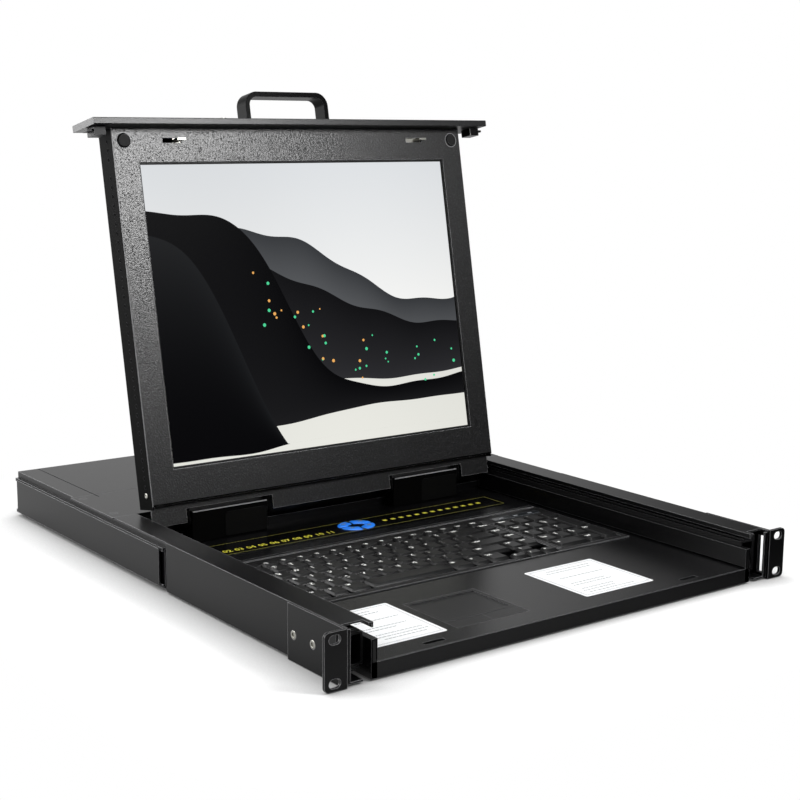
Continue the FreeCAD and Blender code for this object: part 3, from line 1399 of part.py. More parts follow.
def lid_latch():
    """The sliding latch bar with its two hooks and the knob on the fascia."""
    body = new_body("lid_latch")
    plane = "(lid_sheet + hook_gap)"
    bar_low = "(hook_height - latch_bar_height / 2)"
    tips = {1: "(hook_slot_inner + hook_slot_length + hook_grip)", -1: "(hook_grip - hook_slot_inner)"}
    bar = rectangle(f"{tips[-1]} - hook_width", bar_low, tips[1], f"{bar_low} + latch_bar_height * 0.7")
    pad(body, "lid_latch_bar", "XZ_Plane", [bar], plane, f"{plane} + hook_sheet")
    low = "hook_height - hook_sheet / 2"
    for side, tip in tips.items():
        back = f"{tip} - hook_width"
        neck = f"{tip} - hook_barb"
        outline = [(back, "-hook_reach"), (f"{tip} - hook_barb / 2", "-hook_reach"),
                   (tip, "-hook_reach + hook_sheet"), (neck, "-hook_reach + hook_sheet * 1.2"),
                   (neck, f"{plane} + hook_sheet / 2"), (back, f"{plane} + hook_sheet / 2")]
        pad(body, f"lid_latch_hook_{side_name(side)}", "XY_Plane", [outline], low, f"{low} + hook_sheet")
    stem = rectangle("knob_x - knob_stem / 2", "knob_depth - knob_stem / 2", "knob_x + knob_stem / 2",
                     "knob_depth + knob_stem / 2")
    knob_low = "fascia_top + hook_gap"
    pad(body, "lid_latch_stem", "XY_Plane", [stem], f"{bar_low} + 1", f"{knob_low} + knob_rise / 2")
    knob = ("circle", "knob_x", "knob_depth", "knob_radius")
    pad(body, "lid_latch_knob", "XY_Plane", [knob], knob_low, f"{knob_low} + knob_rise")
    return finish(body, "lid_latch", leaned())


def drawer_catch(side):
    """A spring catch under an end of the fascia; its tongue locks behind the channel's lip."""
    name = f"drawer_catch_{side_name(side)}"
    body = new_body(name)
    top = "lid_height - catch_room"
    low = f"{top} - catch_height"
    block = mirrored(side, rectangle("catch_inner", "catch_front", "catch_outer", "catch_back"))
    pad(body, name + "_block", "XY_Plane", [block], low, top)
    high = "pivot_y - hinge_below - front_gap - steel - slide_gap"
    tongue = mirrored(side, rectangle("catch_outer - 1", "catch_front + 2", "catch_tongue", "catch_back - 2"))
    pad(body, name + "_tongue", "XY_Plane", [tongue], f"{high} - tongue_thickness", high)
    return finish(body, name, leaned())


def build():
    for side in (-1, 1):
        side_channel(side)
        ear_bracket(side)
        rail_guide(side)
        rear_rail(side)
        slide_outer(side)
        slide_middle(side)
        slide_inner(side)
        hinge_block(side)
        touch_button(side)
        drawer_catch(side)
    for make in (ear_screws, front_cover, rear_cover, cover_screws, base_pan, rear_panel, console_ports,
                 power_inlet, power_switch, power_rocker, main_board, power_supply, keyboard_tray, deck_plate,
                 keyboard_frame, keyboard_base, keys, indicator_lens, touchpad, control_panel, control_pad,
                 hinge_pins, lid_bezel, lid_shell, lcd_panel, driver_board, hinge_arms, fascia, handle,
                 bumpers, lid_latch):
        make()


def check():
    """Stops if any feature failed or any sub-part isn't a sound solid."""
    for item in doc.Objects:
        if "Invalid" in item.State or "Error" in item.State:
            raise RuntimeError(f"{item.Name} failed: {item.State}")
    for node in nodes:
        if node.Shape.isNull() or not node.Shape.isValid() or not node.Shape.Solids:
            raise RuntimeError(f"{node.Label} has no sound solid")


def export():
    os.makedirs("parts", exist_ok=True)
    for node in nodes:
        node.Shape.exportStep(f"parts/{node.Label}.step")


build()
doc.recompute()
check()
export()
print(f"{len(nodes)} sub-parts")
sys.stdout.flush()
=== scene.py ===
"""Looks of a rack console drawer: coats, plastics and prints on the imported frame, its key caps and legends,
the lit screen, the labels and the studio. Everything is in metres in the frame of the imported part.
"""

import math

import bpy
import numpy as np
from mathutils import Matrix


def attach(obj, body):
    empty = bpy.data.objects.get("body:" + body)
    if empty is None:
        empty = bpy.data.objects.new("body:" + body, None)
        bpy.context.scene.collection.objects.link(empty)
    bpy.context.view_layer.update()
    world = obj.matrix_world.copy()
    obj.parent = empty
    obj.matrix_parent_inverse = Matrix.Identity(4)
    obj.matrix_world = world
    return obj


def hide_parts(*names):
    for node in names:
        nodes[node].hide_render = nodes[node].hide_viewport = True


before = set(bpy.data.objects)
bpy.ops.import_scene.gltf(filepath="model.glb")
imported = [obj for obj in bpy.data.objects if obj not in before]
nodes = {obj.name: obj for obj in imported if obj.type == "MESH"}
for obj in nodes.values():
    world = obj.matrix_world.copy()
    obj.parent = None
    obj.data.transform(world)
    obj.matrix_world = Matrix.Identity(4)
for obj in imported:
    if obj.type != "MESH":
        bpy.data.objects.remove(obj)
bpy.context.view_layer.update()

MM = 0.001
UNIT_MIDDLE = 21.83      # mm from the ears' bottom edge up to the frame's origin
LID_LEAN = math.radians(11)
LID_FOOT_Y = 339.88      # mm, the lower edge of the lid's face
LID_FOOT_HEIGHT = 53.81
LID_HALF = 193.8
rng = np.random.default_rng(7)


# Places on the object, each right-handed with its level measured outwards

def bench(x, y, height):
    """Points of the chassis or drawer: mm right, mm back and mm above the ears' bottom edge."""
    x, y, height = np.broadcast_arrays(np.asarray(x, float), y, height)
    return np.stack([x, y, height - UNIT_MIDDLE], axis=-1) * MM


def on_lid(v, w, u):
    """Points of the leaned lid: mm right, mm behind its face and mm up from its lower edge.
    Row Y = foot + u sin(lean) + w cos(lean), row Z = foot + u cos(lean) - w sin(lean)."""
    v, w, u = np.broadcast_arrays(np.asarray(v, float), w, u)
    y = LID_FOOT_Y + u * math.sin(LID_LEAN) + w * math.cos(LID_LEAN)
    z = LID_FOOT_HEIGHT - UNIT_MIDDLE + u * math.cos(LID_LEAN) - w * math.sin(LID_LEAN)
    return np.stack([v, y, z], axis=-1) * MM


def on_face(v, u, level):
    """Level is the distance in front of the lid's face."""
    return on_lid(v, -level, u)


def on_lid_left(u, w, level):
    return on_lid(-LID_HALF - level, w, u)


def on_lid_right(w, u, level):
    return on_lid(LID_HALF + level, w, u)


LEG_FACE = 224.0         # mm, the outer face of the rack ears' legs


def on_leg_left(height, y, level):
    return bench(-LEG_FACE - level, y, height)


def on_leg_right(y, height, level):
    return bench(LEG_FACE + level, y, height)


# Materials

def linear(hex_colour):
    """Linear light of an sRGB hex colour: c / 12.92 up to 0.04045, and ((c + 0.055) / 1.055) ^ 2.4 above."""
    c = np.array([int(hex_colour[i:i + 2], 16) for i in (1, 3, 5)]) / 255
    light = np.where(c <= 0.04045, c / 12.92, ((c + 0.055) / 1.055) ** 2.4)
    return (*light.tolist(), 1.0)


def add_node(tree, kind, inputs=None, **settings):
    """Adds a shader node. An input is a value, or a pair of a node and one of its outputs to link."""
    node = tree.nodes.new(kind)
    for key, setting in settings.items():
        setattr(node, key, setting)
    for key, given in (inputs or {}).items():
        if isinstance(given, tuple) and isinstance(given[0], bpy.types.Node):
            tree.links.new(node.inputs[key], given[0].outputs[given[1]])
        else:
            node.inputs[key].default_value = given
    return node


def new_material(name):
    """An empty material, its tree, and its surface's output."""
    material = bpy.data.materials.new(name)
    material.use_nodes = True
    tree = material.node_tree
    tree.nodes.clear()
    output = add_node(tree, "ShaderNodeOutputMaterial")
    return material, tree, output


GRAIN_PEAK = (0.54, 0.68)   # noise between which the painted glint's tone comes in
GRAIN_PIT = (0.34, 0.44)    # noise between which a pit turns into plain grain
PIT_ROUGHNESS = 0.7
EDGE_HIGHLIGHT_SPAN = (0.08, 0.3)        # how far the rounded normal leaves the face's own before an edge gets its painted highlight
GRAIN_HEIGHT = 0.3          # share of the grain's size


def finish(name, dark, light, roughness, specular=0.5, metallic=0.0, grain_mm=1.0, relief=0.15,
           patch_mm=60.0, edge_mm=0.45, edge=None, painted_glint=None, stretch=1.0):
    """A finish with a grain of one size. Its colour drifts between two tones over patches. Specks of a third
    tone, painted glints, and rough pits sit on the grain, and folds and edges carry a painted highlight: a
    lighter tone where the rounded normal leaves the face's own. The edge radius rounds the shading of sharp
    folds. Stretch draws the grain out along X, as brushing does."""
    material, tree, output = new_material(name)
    place = add_node(tree, "ShaderNodeTexCoord")
    drawn = add_node(tree, "ShaderNodeMapping", {"Vector": (place, "Object"),
                                                 "Scale": (1 / stretch, 1.0, 1.0)})
    drift = add_node(tree, "ShaderNodeTexNoise", {"Vector": (drawn, "Vector"), "Scale": 1 / (patch_mm * MM),
                                                  "Detail": 3.0})
    grain = add_node(tree, "ShaderNodeTexNoise", {"Vector": (drawn, "Vector"), "Scale": 1 / (grain_mm * MM),
                                                  "Detail": 2.0, "Roughness": 0.6})
    tone = add_node(tree, "ShaderNodeMix", {"Factor": (drift, "Fac"), "A": linear(dark), "B": linear(light)},
                    data_type="RGBA")
    # Painted glints: lighter specks on the grain's peaks.
    if painted_glint:
        peak = add_node(tree, "ShaderNodeMapRange", {
            "Value": (grain, "Fac"), "From Min": GRAIN_PEAK[0], "From Max": GRAIN_PEAK[1]})
        tone = add_node(tree, "ShaderNodeMix", {"Factor": (peak, "Result"), "A": (tone, "Result"),
                                                "B": linear(painted_glint)}, data_type="RGBA")
    rounded = add_node(tree, "ShaderNodeBevel", {"Radius": edge_mm * MM}, samples=6)
    # Painted highlight: a lighter tone on folds and edges, where the rounded normal leaves the face's own.
    if edge:
        own = add_node(tree, "ShaderNodeNewGeometry")
        apart = add_node(tree, "ShaderNodeVectorMath", {0: (rounded, "Normal"), 1: (own, "True Normal")},
                         operation="DISTANCE")
        edge_highlight_share = add_node(tree, "ShaderNodeMapRange", {
            "Value": (apart, "Value"), "From Min": EDGE_HIGHLIGHT_SPAN[0], "From Max": EDGE_HIGHLIGHT_SPAN[1]})
        tone = add_node(tree, "ShaderNodeMix", {"Factor": (edge_highlight_share, "Result"), "A": (tone, "Result"),
                                                "B": linear(edge)}, data_type="RGBA")
    bump = add_node(tree, "ShaderNodeBump", {"Height": (grain, "Fac"), "Strength": relief,
                                             "Distance": grain_mm * MM * GRAIN_HEIGHT,
                                             "Normal": (rounded, "Normal")})
    skin = add_node(tree, "ShaderNodeBsdfPrincipled", {
        "Base Color": (tone, "Result"), "Roughness": roughness, "Metallic": metallic,
        "Specular IOR Level": specular, "Normal": (bump, "Normal")})
    if painted_glint:
        pit = add_node(tree, "ShaderNodeMapRange", {
            "Value": (grain, "Fac"), "From Min": GRAIN_PIT[0], "From Max": GRAIN_PIT[1],
            "To Min": PIT_ROUGHNESS, "To Max": roughness})
        tree.links.new(skin.inputs["Roughness"], pit.outputs["Result"])
    tree.links.new(output.inputs["Surface"], skin.outputs["BSDF"])
    return material


INK_GRAIN, INK_COVER = 0.8, 0.86       # mm, and the tone's share where the ink is thinnest


def printed(name, hex_colour, roughness=0.5):
    """Ink or a small moulded mark in one colour, a little uneven, as a screen print lays it down."""
    material, tree, output = new_material(name)
    place = add_node(tree, "ShaderNodeTexCoord")
    wear = add_node(tree, "ShaderNodeTexNoise", {"Vector": (place, "Object"), "Scale": 1 / (INK_GRAIN * MM)})
    cover = add_node(tree, "ShaderNodeMapRange", {"Value": (wear, "Fac"), "To Min": INK_COVER, "To Max": 1.0})
    tone = add_node(tree, "ShaderNodeMix", {"Factor": (cover, "Result"), "A": linear("#000000"),
                                            "B": linear(hex_colour)}, data_type="RGBA")
    skin = add_node(tree, "ShaderNodeBsdfPrincipled", {"Base Color": (tone, "Result"),
                                                       "Roughness": roughness})
    tree.links.new(output.inputs["Surface"], skin.outputs["BSDF"])
    return material


def display_light():
    """Light that leaves the display: the piece's own picture colours under a thin glossy front."""
    material, tree, output = new_material("lit_display_glass")
    picture = add_node(tree, "ShaderNodeAttribute", attribute_name="picture")
    skin = add_node(tree, "ShaderNodeBsdfPrincipled", {
        "Base Color": linear("#010101"), "Roughness": 0.3, "Specular IOR Level": 0.01,
        "Emission Color": (picture, "Color"), "Emission Strength": 1.0})
    tree.links.new(output.inputs["Surface"], skin.outputs["BSDF"])
    return material


# Every finish below that is given an edge colour carries a painted highlight on its folds and edges.
# Polyester powder coat on folded sheet steel: a fine even orange peel, satin black, its folds lighter by a
# painted highlight. The grain of the coats is about twice the real one, so that it shows at the render's
# size.
chassis_coat = finish("satin_powder_coat", "#050506", "#09090a", 0.30, 0.21, grain_mm=1.1, relief=0.2,
                      edge_mm=0.6, edge="#8a8a8c")
tray_coat = finish("satin_powder_coat_tray", "#050506", "#09090a", 0.27, 0.3, grain_mm=1.1, relief=0.25,
                   edge_mm=0.5, edge="#5e5e60")
# Texture powder coat of the lid's face: a coarse sandy grain with rough pits, its lighter specks painted
# glints.
sandy_coat = finish("sand_texture_powder_coat", "#040405", "#070708", 0.33, 0.72, grain_mm=1.5, relief=0.5,
                    edge_mm=0.6, edge="#a8a8aa", painted_glint="#303032")
# Matt powder coat of the lid's shell: hardly any sheen.
matt_coat = finish("matt_powder_coat", "#030303", "#050505", 0.6, 0.03, grain_mm=1.2, relief=0.2,
                   edge_mm=0.4, edge="#3a3a3c")
# Black electrocoat of the slides: thin, smooth and dull.
electrocoat = finish("black_electrocoat", "#060607", "#0b0b0c", 0.45, 0.3, grain_mm=0.9, relief=0.05,
                     edge_mm=0.3, edge="#4a4a4c")
# Black anodised aluminium plate, brushed along its length, with a painted highlight on its edges.
anodised = finish("brushed_black_anodised_aluminium", "#0b0b0c", "#1d1d1f", 0.36, 0.5, grain_mm=0.9,
                  relief=0.12, patch_mm=3.0, edge_mm=0.5, edge="#8a8a8c", stretch=30.0)
# Black anodised bar of the handle: smooth.
anodised_bar = finish("black_anodised_bar", "#030303", "#050505", 0.3, 0.04, grain_mm=0.9, relief=0.05,
                      edge_mm=0.5, edge="#4a4a4c")
# Moulded ABS with a light spark-eroded grain.
moulded = finish("grained_black_abs", "#040405", "#070708", 0.42, 0.25, grain_mm=0.9, relief=0.25,
                 edge_mm=0.5, edge="#a0a0a2")
# The hinge covers: the same ABS without light on its corners, its access cover, and a pale strip along its
# top front edge, a painted highlight.
hinge_plastic = finish("matt_black_abs", "#020202", "#040404", 0.5, 0.06, grain_mm=0.9, relief=0.2,
                       edge_mm=0.4)
hinge_access = finish("satin_black_abs", "#060606", "#080808", 0.45, 0.15, grain_mm=0.9, relief=0.2,
                      edge_mm=0.4)
painted_highlight = finish("grey_abs_painted_highlight", "#9c9c9e", "#b6b6b8", 0.4, 0.5, grain_mm=0.8, relief=0.1,
                   edge_mm=0.2)
# Key caps: PBT with a fine matt grain, greyer than the frame round them.
key_plastic = finish("matt_black_pbt", "#070708", "#0b0b0c", 0.38, 0.28, grain_mm=0.8, relief=0.15,
                     edge_mm=0.3)
# Touch pad film: smooth matt polyester.
touch_film = finish("matt_polyester_film", "#0a0a0b", "#0f0f10", 0.42, 0.45, grain_mm=0.8, relief=0.06,
                    edge_mm=0.4, edge="#4c4c4e")
# Bright zinc on steel: cool, slightly yellow, with a cloudy drift.
zinc = finish("bright_zinc_plate", "#8f8e88", "#b9b8b0", 0.32, metallic=1.0, grain_mm=1.5, relief=0.05,
              patch_mm=12.0, edge_mm=0.3)
# Dark spring steel of the catches, with a painted highlight on its edges.
spring_steel = finish("dark_spring_steel", "#2a2a2b", "#3a3a3b", 0.28, metallic=1.0, relief=0.05,
                      edge_mm=0.4, edge="#d8d8d6")
# Phosphated screws.
phosphate = finish("black_phosphate_screw", "#0c0c0d", "#141415", 0.36, 0.5, grain_mm=0.8, relief=0.1,
                   edge_mm=0.3, edge="#55555a")
# Soft rubber of the bumpers.
rubber = finish("matt_black_rubber", "#060606", "#0a0a0a", 0.6, 0.3, grain_mm=0.8, relief=0.15, edge_mm=0.5,
                edge="#5c5c5e")
# Screen-printed polyester overlay over the drawer's rear strip.
overlay = finish("gloss_polyester_overlay", "#030304", "#060607", 0.2, 0.4, grain_mm=0.9, relief=0.03,
                 edge_mm=0.2)
# Circuit boards with green solder mask.
board = finish("green_solder_mask", "#174a2d", "#1f5a38", 0.35, relief=0.1, edge_mm=0.1)
# Plain aluminised sheet of the supply's case.
plain_sheet = finish("aluminised_steel_sheet", "#8d8d8c", "#a8a8a6", 0.4, metallic=1.0, grain_mm=1.2,
                     relief=0.1, edge_mm=0.3)
# The menu pads: moulded silicone in blue.
blue_silicone = finish("blue_silicone", "#1a7af0", "#2b8cff", 0.35, 0.5, grain_mm=0.8, relief=0.05,
                       edge_mm=0.3)
# Smoked clear acrylic over the lock lights.
smoked = finish("smoked_acrylic", "#1b1d1f", "#222528", 0.15, 0.5, grain_mm=0.8, relief=0.03, edge_mm=0.4,
                edge="#7c8084")
# Module frame of the display, matt black.
module_frame = finish("matt_black_module_frame", "#060607", "#0a0a0b", 0.5, 0.3, grain_mm=0.8, relief=0.1,
                      edge_mm=0.2)
# Painted shade: a dark sheet for the shaded inside of punched holes, and of joints, folds and wells.
hole_shade = finish("shaded_hole", "#010101", "#030303", 0.9, 0.05, grain_mm=0.8, relief=0.05, edge_mm=0.2)

NODE_FINISH = {
    chassis_coat: ["side_channel_left", "side_channel_right", "ear_bracket_left", "ear_bracket_right",
                   "front_cover", "rear_cover", "base_pan", "rear_panel", "rail_guide_left",
                   "rail_guide_right", "rear_rail_left", "rear_rail_right"],
    tray_coat: ["keyboard_tray", "deck_plate"],
    electrocoat: ["slide_outer_left", "slide_outer_right", "slide_middle_left", "slide_middle_right",
                  "slide_inner_left", "slide_inner_right", "drawer_catch_left"],
    sandy_coat: ["lid_bezel"],
    matt_coat: ["lid_shell", "hinge_arms"],
    anodised: ["fascia"],
    anodised_bar: ["handle"],
    moulded: ["keyboard_frame", "keyboard_base", "hinge_block_left", "hinge_block_right", "power_inlet",
              "switch_frame", "power_rocker"],
    touch_film: ["touchpad", "touch_button_left", "touch_button_right"],
    zinc: ["computer_ports", "hinge_pins", "lid_latch"],
    spring_steel: ["drawer_catch_right"],
    phosphate: ["cover_screws"],
    rubber: ["bumpers"],
    overlay: ["control_panel"],
    board: ["main_board", "driver_board"],
    plain_sheet: ["power_supply"],
    smoked: ["indicator_lens"],
    module_frame: ["lcd_panel"],
}
for material, names in NODE_FINISH.items():
    for name in names:
        nodes[name].data.materials.clear()
        nodes[name].data.materials.append(material)


# Surfaces

def piece(name, points, faces, material, body, smooth=False):
    """A mesh from arrays of points (metres) and faces, riding on a body."""
    mesh = bpy.data.meshes.new(name)
    mesh.from_pydata(points.reshape(-1, 3).tolist(), [], [f.tolist() for f in faces])
    mesh.update()
    if smooth:
        mesh.polygons.foreach_set("use_smooth", np.ones(len(mesh.polygons), bool))
    mesh.materials.append(material)
    item = bpy.data.objects.new(name, mesh)
    bpy.context.scene.collection.objects.link(item)
    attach(item, body)
    return item


def grid_faces(rows, columns, closed):
    """Quads of a grid of rows by columns; a closed grid joins its last column to its first."""
    r, c = np.meshgrid(np.arange(rows - 1), np.arange(columns if closed else columns - 1), indexing="ij")
    d = (c + 1) % columns
    return np.stack([r * columns + c, r * columns + d, (r + 1) * columns + d, (r + 1) * columns + c],
                    axis=-1).reshape(-1, 4)


def shell_faces(rows, columns):
    """Faces of a closed form of rings: its walls, its last ring as the cap and its first as the foot."""
    ring = np.arange(columns)
    return [*grid_faces(rows, columns, True), ring + (rows - 1) * columns, ring[::-1]]


def rounded_outline(half_x, half_y, radius, steps=4):
    """Outline of a rounded rectangle: each corner is a quarter circle of steps + 1 points about the point
    (half_x - radius, half_y - radius), counter-clockwise from the right-hand corner."""
    turn = np.linspace(0, math.pi / 2, steps + 1)
    angle = np.concatenate([turn + k * math.pi / 2 for k in range(4)])
    sign_x = np.repeat([1, -1, -1, 1], steps + 1)
    sign_y = np.repeat([1, 1, -1, -1], steps + 1)
    return (sign_x * (half_x - radius) + radius * np.cos(angle),
            sign_y * (half_y - radius) + radius * np.sin(angle))


def plates(rects, low, high, radius, place, steps=3):
    """Thin rounded plates with flat faces: for each rectangle (left, near, right, far) a wall from low to
    high along the plate's normal, a cap at its high side and a foot at its low side."""
    rects = np.atleast_2d(np.asarray(rects, float))
    points, faces = [], []
    for left, near, right, far in rects:
        x, y = rounded_outline((right - left) / 2, (far - near) / 2, radius, steps)
        x, y = x + (left + right) / 2, y + (near + far) / 2
        faces += [f + len(points) * len(x) for f in shell_faces(2, len(x))]
        points += [place(x, y, low), place(x, y, high)]
    return np.concatenate(points), faces


def turned(profile, centres, place, sides=16):
    """Turned forms: a profile of (radius, level) pairs from the foot's rim to the middle, carried once round
    each centre as (x + r cos a, y + r sin a)."""
    radius, level = np.array(profile, float).T
    angle = np.linspace(0, 2 * math.pi, sides, endpoint=False)
    points, faces = [], []
    for index, (x, y) in enumerate(centres):
        points.append(place(x + np.outer(radius, np.cos(angle)), y + np.outer(radius, np.sin(angle)),
                            level[:, None]).reshape(-1, 3))
        faces += [f + index * len(profile) * sides for f in shell_faces(len(profile), sides)]
    return np.concatenate(points), faces


# Keys

KEYS_LEFT, KEY_UNIT = -177.0, 17.45
PAD_LEFT, PAD_UNIT = 108.5, 18.2
ROW_FRONT, ROW_PITCH, TOP_ROW_DEPTH = 139.6, 19.4, 12.4
KEY_GAP, KEY_BASE, KEY_TOP, KEY_TAPER = 0.8, 12.45, 16.4, 2.5
ARROW_DROP = 6.0


def key_row(start, unit, widths, front, rear, legends):
    """Rectangles and legends of the keys of one row; a width of None is a gap of one unit."""
    keys, place = [], 0.0
    legends = iter(legends)
    for width in widths:
        if width is None:
            place += 1.0
            continue
        keys.append((start + place * unit, front, start + (place + width) * unit, rear, next(legends)))
        place += width
    return keys


def row(number):
    return ROW_FRONT + number * ROW_PITCH


def typing_row(number, start, widths, legends):
    return key_row(KEYS_LEFT + start * KEY_UNIT, KEY_UNIT, widths, row(number), row(number + 1), legends)


def key_groups():
    """The keys of each moving group, as (left, front, right, rear, legend) in mm."""
    top_rear = row(5) + TOP_ROW_DEPTH
    function_names = ["Esc"] + [f"F{n}" for n in range(1, 13)] + ["Prt", "Scr", "Brk"]
    typing = typing_row(1, 0, [2] + [1] * 10 + [2, 1],
                        ["Shift", *"ZXCVBNM", "<\n,", ">\n.", "?\n/", "Shift", "Del"])
    typing += typing_row(2, 0, [1.75] + [1] * 11 + [2.25], ["Caps", *"ASDFGHJKL", ":\n;", "\"\n'", "Enter"])
    typing += typing_row(3, 0, [1.5] + [1] * 12 + [1.5], ["Tab", *"QWERTYUIOP", "{\n[", "}\n]", "|\n\\"])
    typing += typing_row(4, 0, [1] * 13 + [2],
                         ["~\n`", "!\n1", "@\n2", "#\n3", "$\n4", "%\n5", "^\n6", "&\n7", "*\n8", "(\n9",
                          ")\n0", "_\n-", "+\n=", "Back"])
    typing += typing_row(0, 0, [1.25, 1, 1, 1.25], ["Ctrl", "Fn", "o", "Alt"])
    typing += typing_row(0, 9.5, [1.25, 1, 1.25], ["Alt", "=", "Ctrl"])
    column = []
    for number, legend in zip((1, 2, 3, 4), ("End", "PgDn", "PgUp", "Home")):
        column += typing_row(number, 15, [1], [legend])
    middle = ROW_FRONT + ROW_PITCH / 2 - ARROW_DROP / 2
    low = ROW_FRONT - ARROW_DROP + KEY_GAP
    arrows = key_row(KEYS_LEFT + 13 * KEY_UNIT, KEY_UNIT, [1, 1, 1], low, middle, "<v>")
    arrows += key_row(KEYS_LEFT + 13 * KEY_UNIT, KEY_UNIT, [None, 1], middle, row(1), "^")
    numbers = key_row(PAD_LEFT, PAD_UNIT, [2, 1], row(0), row(1), ["0\nIns", ".\nDel"])
    pad_rows = ((1, ["1\nEnd", "2", "3\nPg"]), (2, ["4", "5", "6"]), (3, ["7\nHm", "8", "9\nPg"]),
                (4, ["Num", "/", "*", "-"]))
    for number, legends in pad_rows:
        numbers += key_row(PAD_LEFT, PAD_UNIT, [1] * len(legends), row(number), row(number + 1), legends)
    for number, legend in ((0, "Ent"), (2, "+")):
        numbers += key_row(PAD_LEFT + 3 * PAD_UNIT, PAD_UNIT, [1], row(number), row(number + 2), [legend])
    return {
        "function_keys": key_row(KEYS_LEFT, KEY_UNIT, [1] * 16, row(5), top_rear, function_names),
        "typing_keys": typing,
        "space_bar": typing_row(0, 4.5, [5], [""]),
        "navigation_keys": column,
        "arrow_keys": arrows,
        "number_pad_keys": numbers,
    }


# Each ring of a cap: its height as a share of the cap's, its share of the taper, how far it shrinks inwards
# and its corner radius
CAP_RINGS = np.array([
    (0.0, 0.0, 1.0, 0.5), (0.55, 0.55, 1.0, 0.7), (0.86, 0.86, 1.0, 0.9), (0.96, 0.98, 1.0, 1.0),
    (1.0, 1.12, 1.0, 1.0), (1.0, 1.12, 0.7, 0.84), (1.0, 1.12, 0.35, 0.42), (1.0, 1.12, 0.001, 0.001)])
DISH_FROM, DISH_DEPTH = 4, 0.45
FRONT_TAPER, REAR_TAPER = 1.3, 0.4     # shares of the side taper
CORNER_STEPS = 3


def key_caps(keys):
    """Dished caps. Each ring is a rounded rectangle that shrinks from the foot to the top by the taper, over
    a shoulder, and then runs in to the middle; there the top sinks as depth (1 - (x / half width)^2), a
    cylinder along the key."""
    boxes = np.array([k[:4] for k in keys], float)
    inset = KEY_GAP / 2 * np.array([1, 1, -1, -1])
    points, faces = [], []
    for left, front, right, rear in boxes + inset:
        for ring, (level, taper, shrink, corner) in enumerate(CAP_RINGS):
            a, b = left + KEY_TAPER * taper, right - KEY_TAPER * taper
            c, d = front + KEY_TAPER * FRONT_TAPER * taper, rear - KEY_TAPER * REAR_TAPER * taper
            x, y = rounded_outline((b - a) / 2 * shrink, (d - c) / 2 * shrink, corner, CORNER_STEPS)
            sink = DISH_DEPTH * (1 - (2 * x / (b - a)) ** 2) * (ring >= DISH_FROM)
            height = KEY_BASE + (KEY_TOP - KEY_BASE) * level - sink
            points.append(bench(x + (a + b) / 2, y + (c + d) / 2, height))
        first = (len(points) - len(CAP_RINGS)) * len(x)
        faces += [f + first for f in shell_faces(len(CAP_RINGS), len(x))]
    return np.concatenate(points), faces


def glyphs(text, size, bold):
    """Points (mm) and faces of flat lettering with its first line's foot at the origin."""
    curve = bpy.data.curves.new("lettering", "FONT")
    curve.body = text
    curve.size = size
    curve.offset = bold
    curve.space_line = 0.75
    curve.resolution_u = 2
    holder = bpy.data.objects.new("lettering", curve)
    mesh = bpy.data.meshes.new_from_object(holder)
    points = np.zeros(len(mesh.vertices) * 3)
    mesh.vertices.foreach_get("co", points)
    faces = [np.array(p.vertices) for p in mesh.polygons]
    bpy.data.objects.remove(holder)
    bpy.data.curves.remove(curve)
    bpy.data.meshes.remove(mesh)
    return points.reshape(-1, 3), faces


def lettering(entries, place, level, bold=0.0):
    """Words at places: each entry is (text, x, y, size); place maps mm to metres."""
    points, faces, first = [], [], 0
    for text, x, y, size in entries:
        flat, own = glyphs(text, size, bold)
        points.append(place(flat[:, 0] + x, flat[:, 1] + y, level))
        faces += [f + first for f in own]
        first += len(flat)
    return np.concatenate(points), faces


# Legends are drawn larger and bolder than on the real caps, so that they show at the render's size.
LEGEND_BOLD = 0.2
LETTER_SIZE, WORD_SIZE, LINE_SHARE = 6.2, 4.4, 0.72
LEGEND_IN, LEGEND_BACK, LEGEND_SINK = 2.7, 1.5, 0.1
white_ink = printed("white_key_legend", "#f2f2ef")
riders = {"function_keys": "keys_function", "typing_keys": "keys_typing", "space_bar": "keys_space",
          "navigation_keys": "keys_navigation", "arrow_keys": "keys_arrow", "number_pad_keys": "keys_number"}
for group, keys in key_groups().items():
    points, faces = key_caps(keys)
    caps = piece(f"{group}_caps", points, faces, key_plastic, riders[group], smooth=True)
    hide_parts(group)
    entries = []
    for left, front, right, rear, legend in keys:
        if not legend:
            continue
        size = LETTER_SIZE if len(legend) == 1 else WORD_SIZE
        foot = rear - KEY_GAP - LEGEND_BACK - size * LINE_SHARE
        entries.append((legend, left + LEGEND_IN, foot, size))
    if entries:
        ink, ink_faces = lettering(entries, bench, KEY_TOP - LEGEND_SINK, LEGEND_BOLD)
        piece(f"{group}_legends", ink, ink_faces, white_ink, riders[group])


# The ring of menu pads

RING_X, RING_Y = 2.0, 308.5
RING_HOLE_X, RING_HOLE_Y, PAD_WIDTH_X, PAD_WIDTH_Y = 8.5, 5.5, 10.0, 10.5
PAD_RISE, PAD_SHARE = 1.1, 0.86        # mm, and the share of its quarter that a pad fills
STRIP_TOP = 13.8


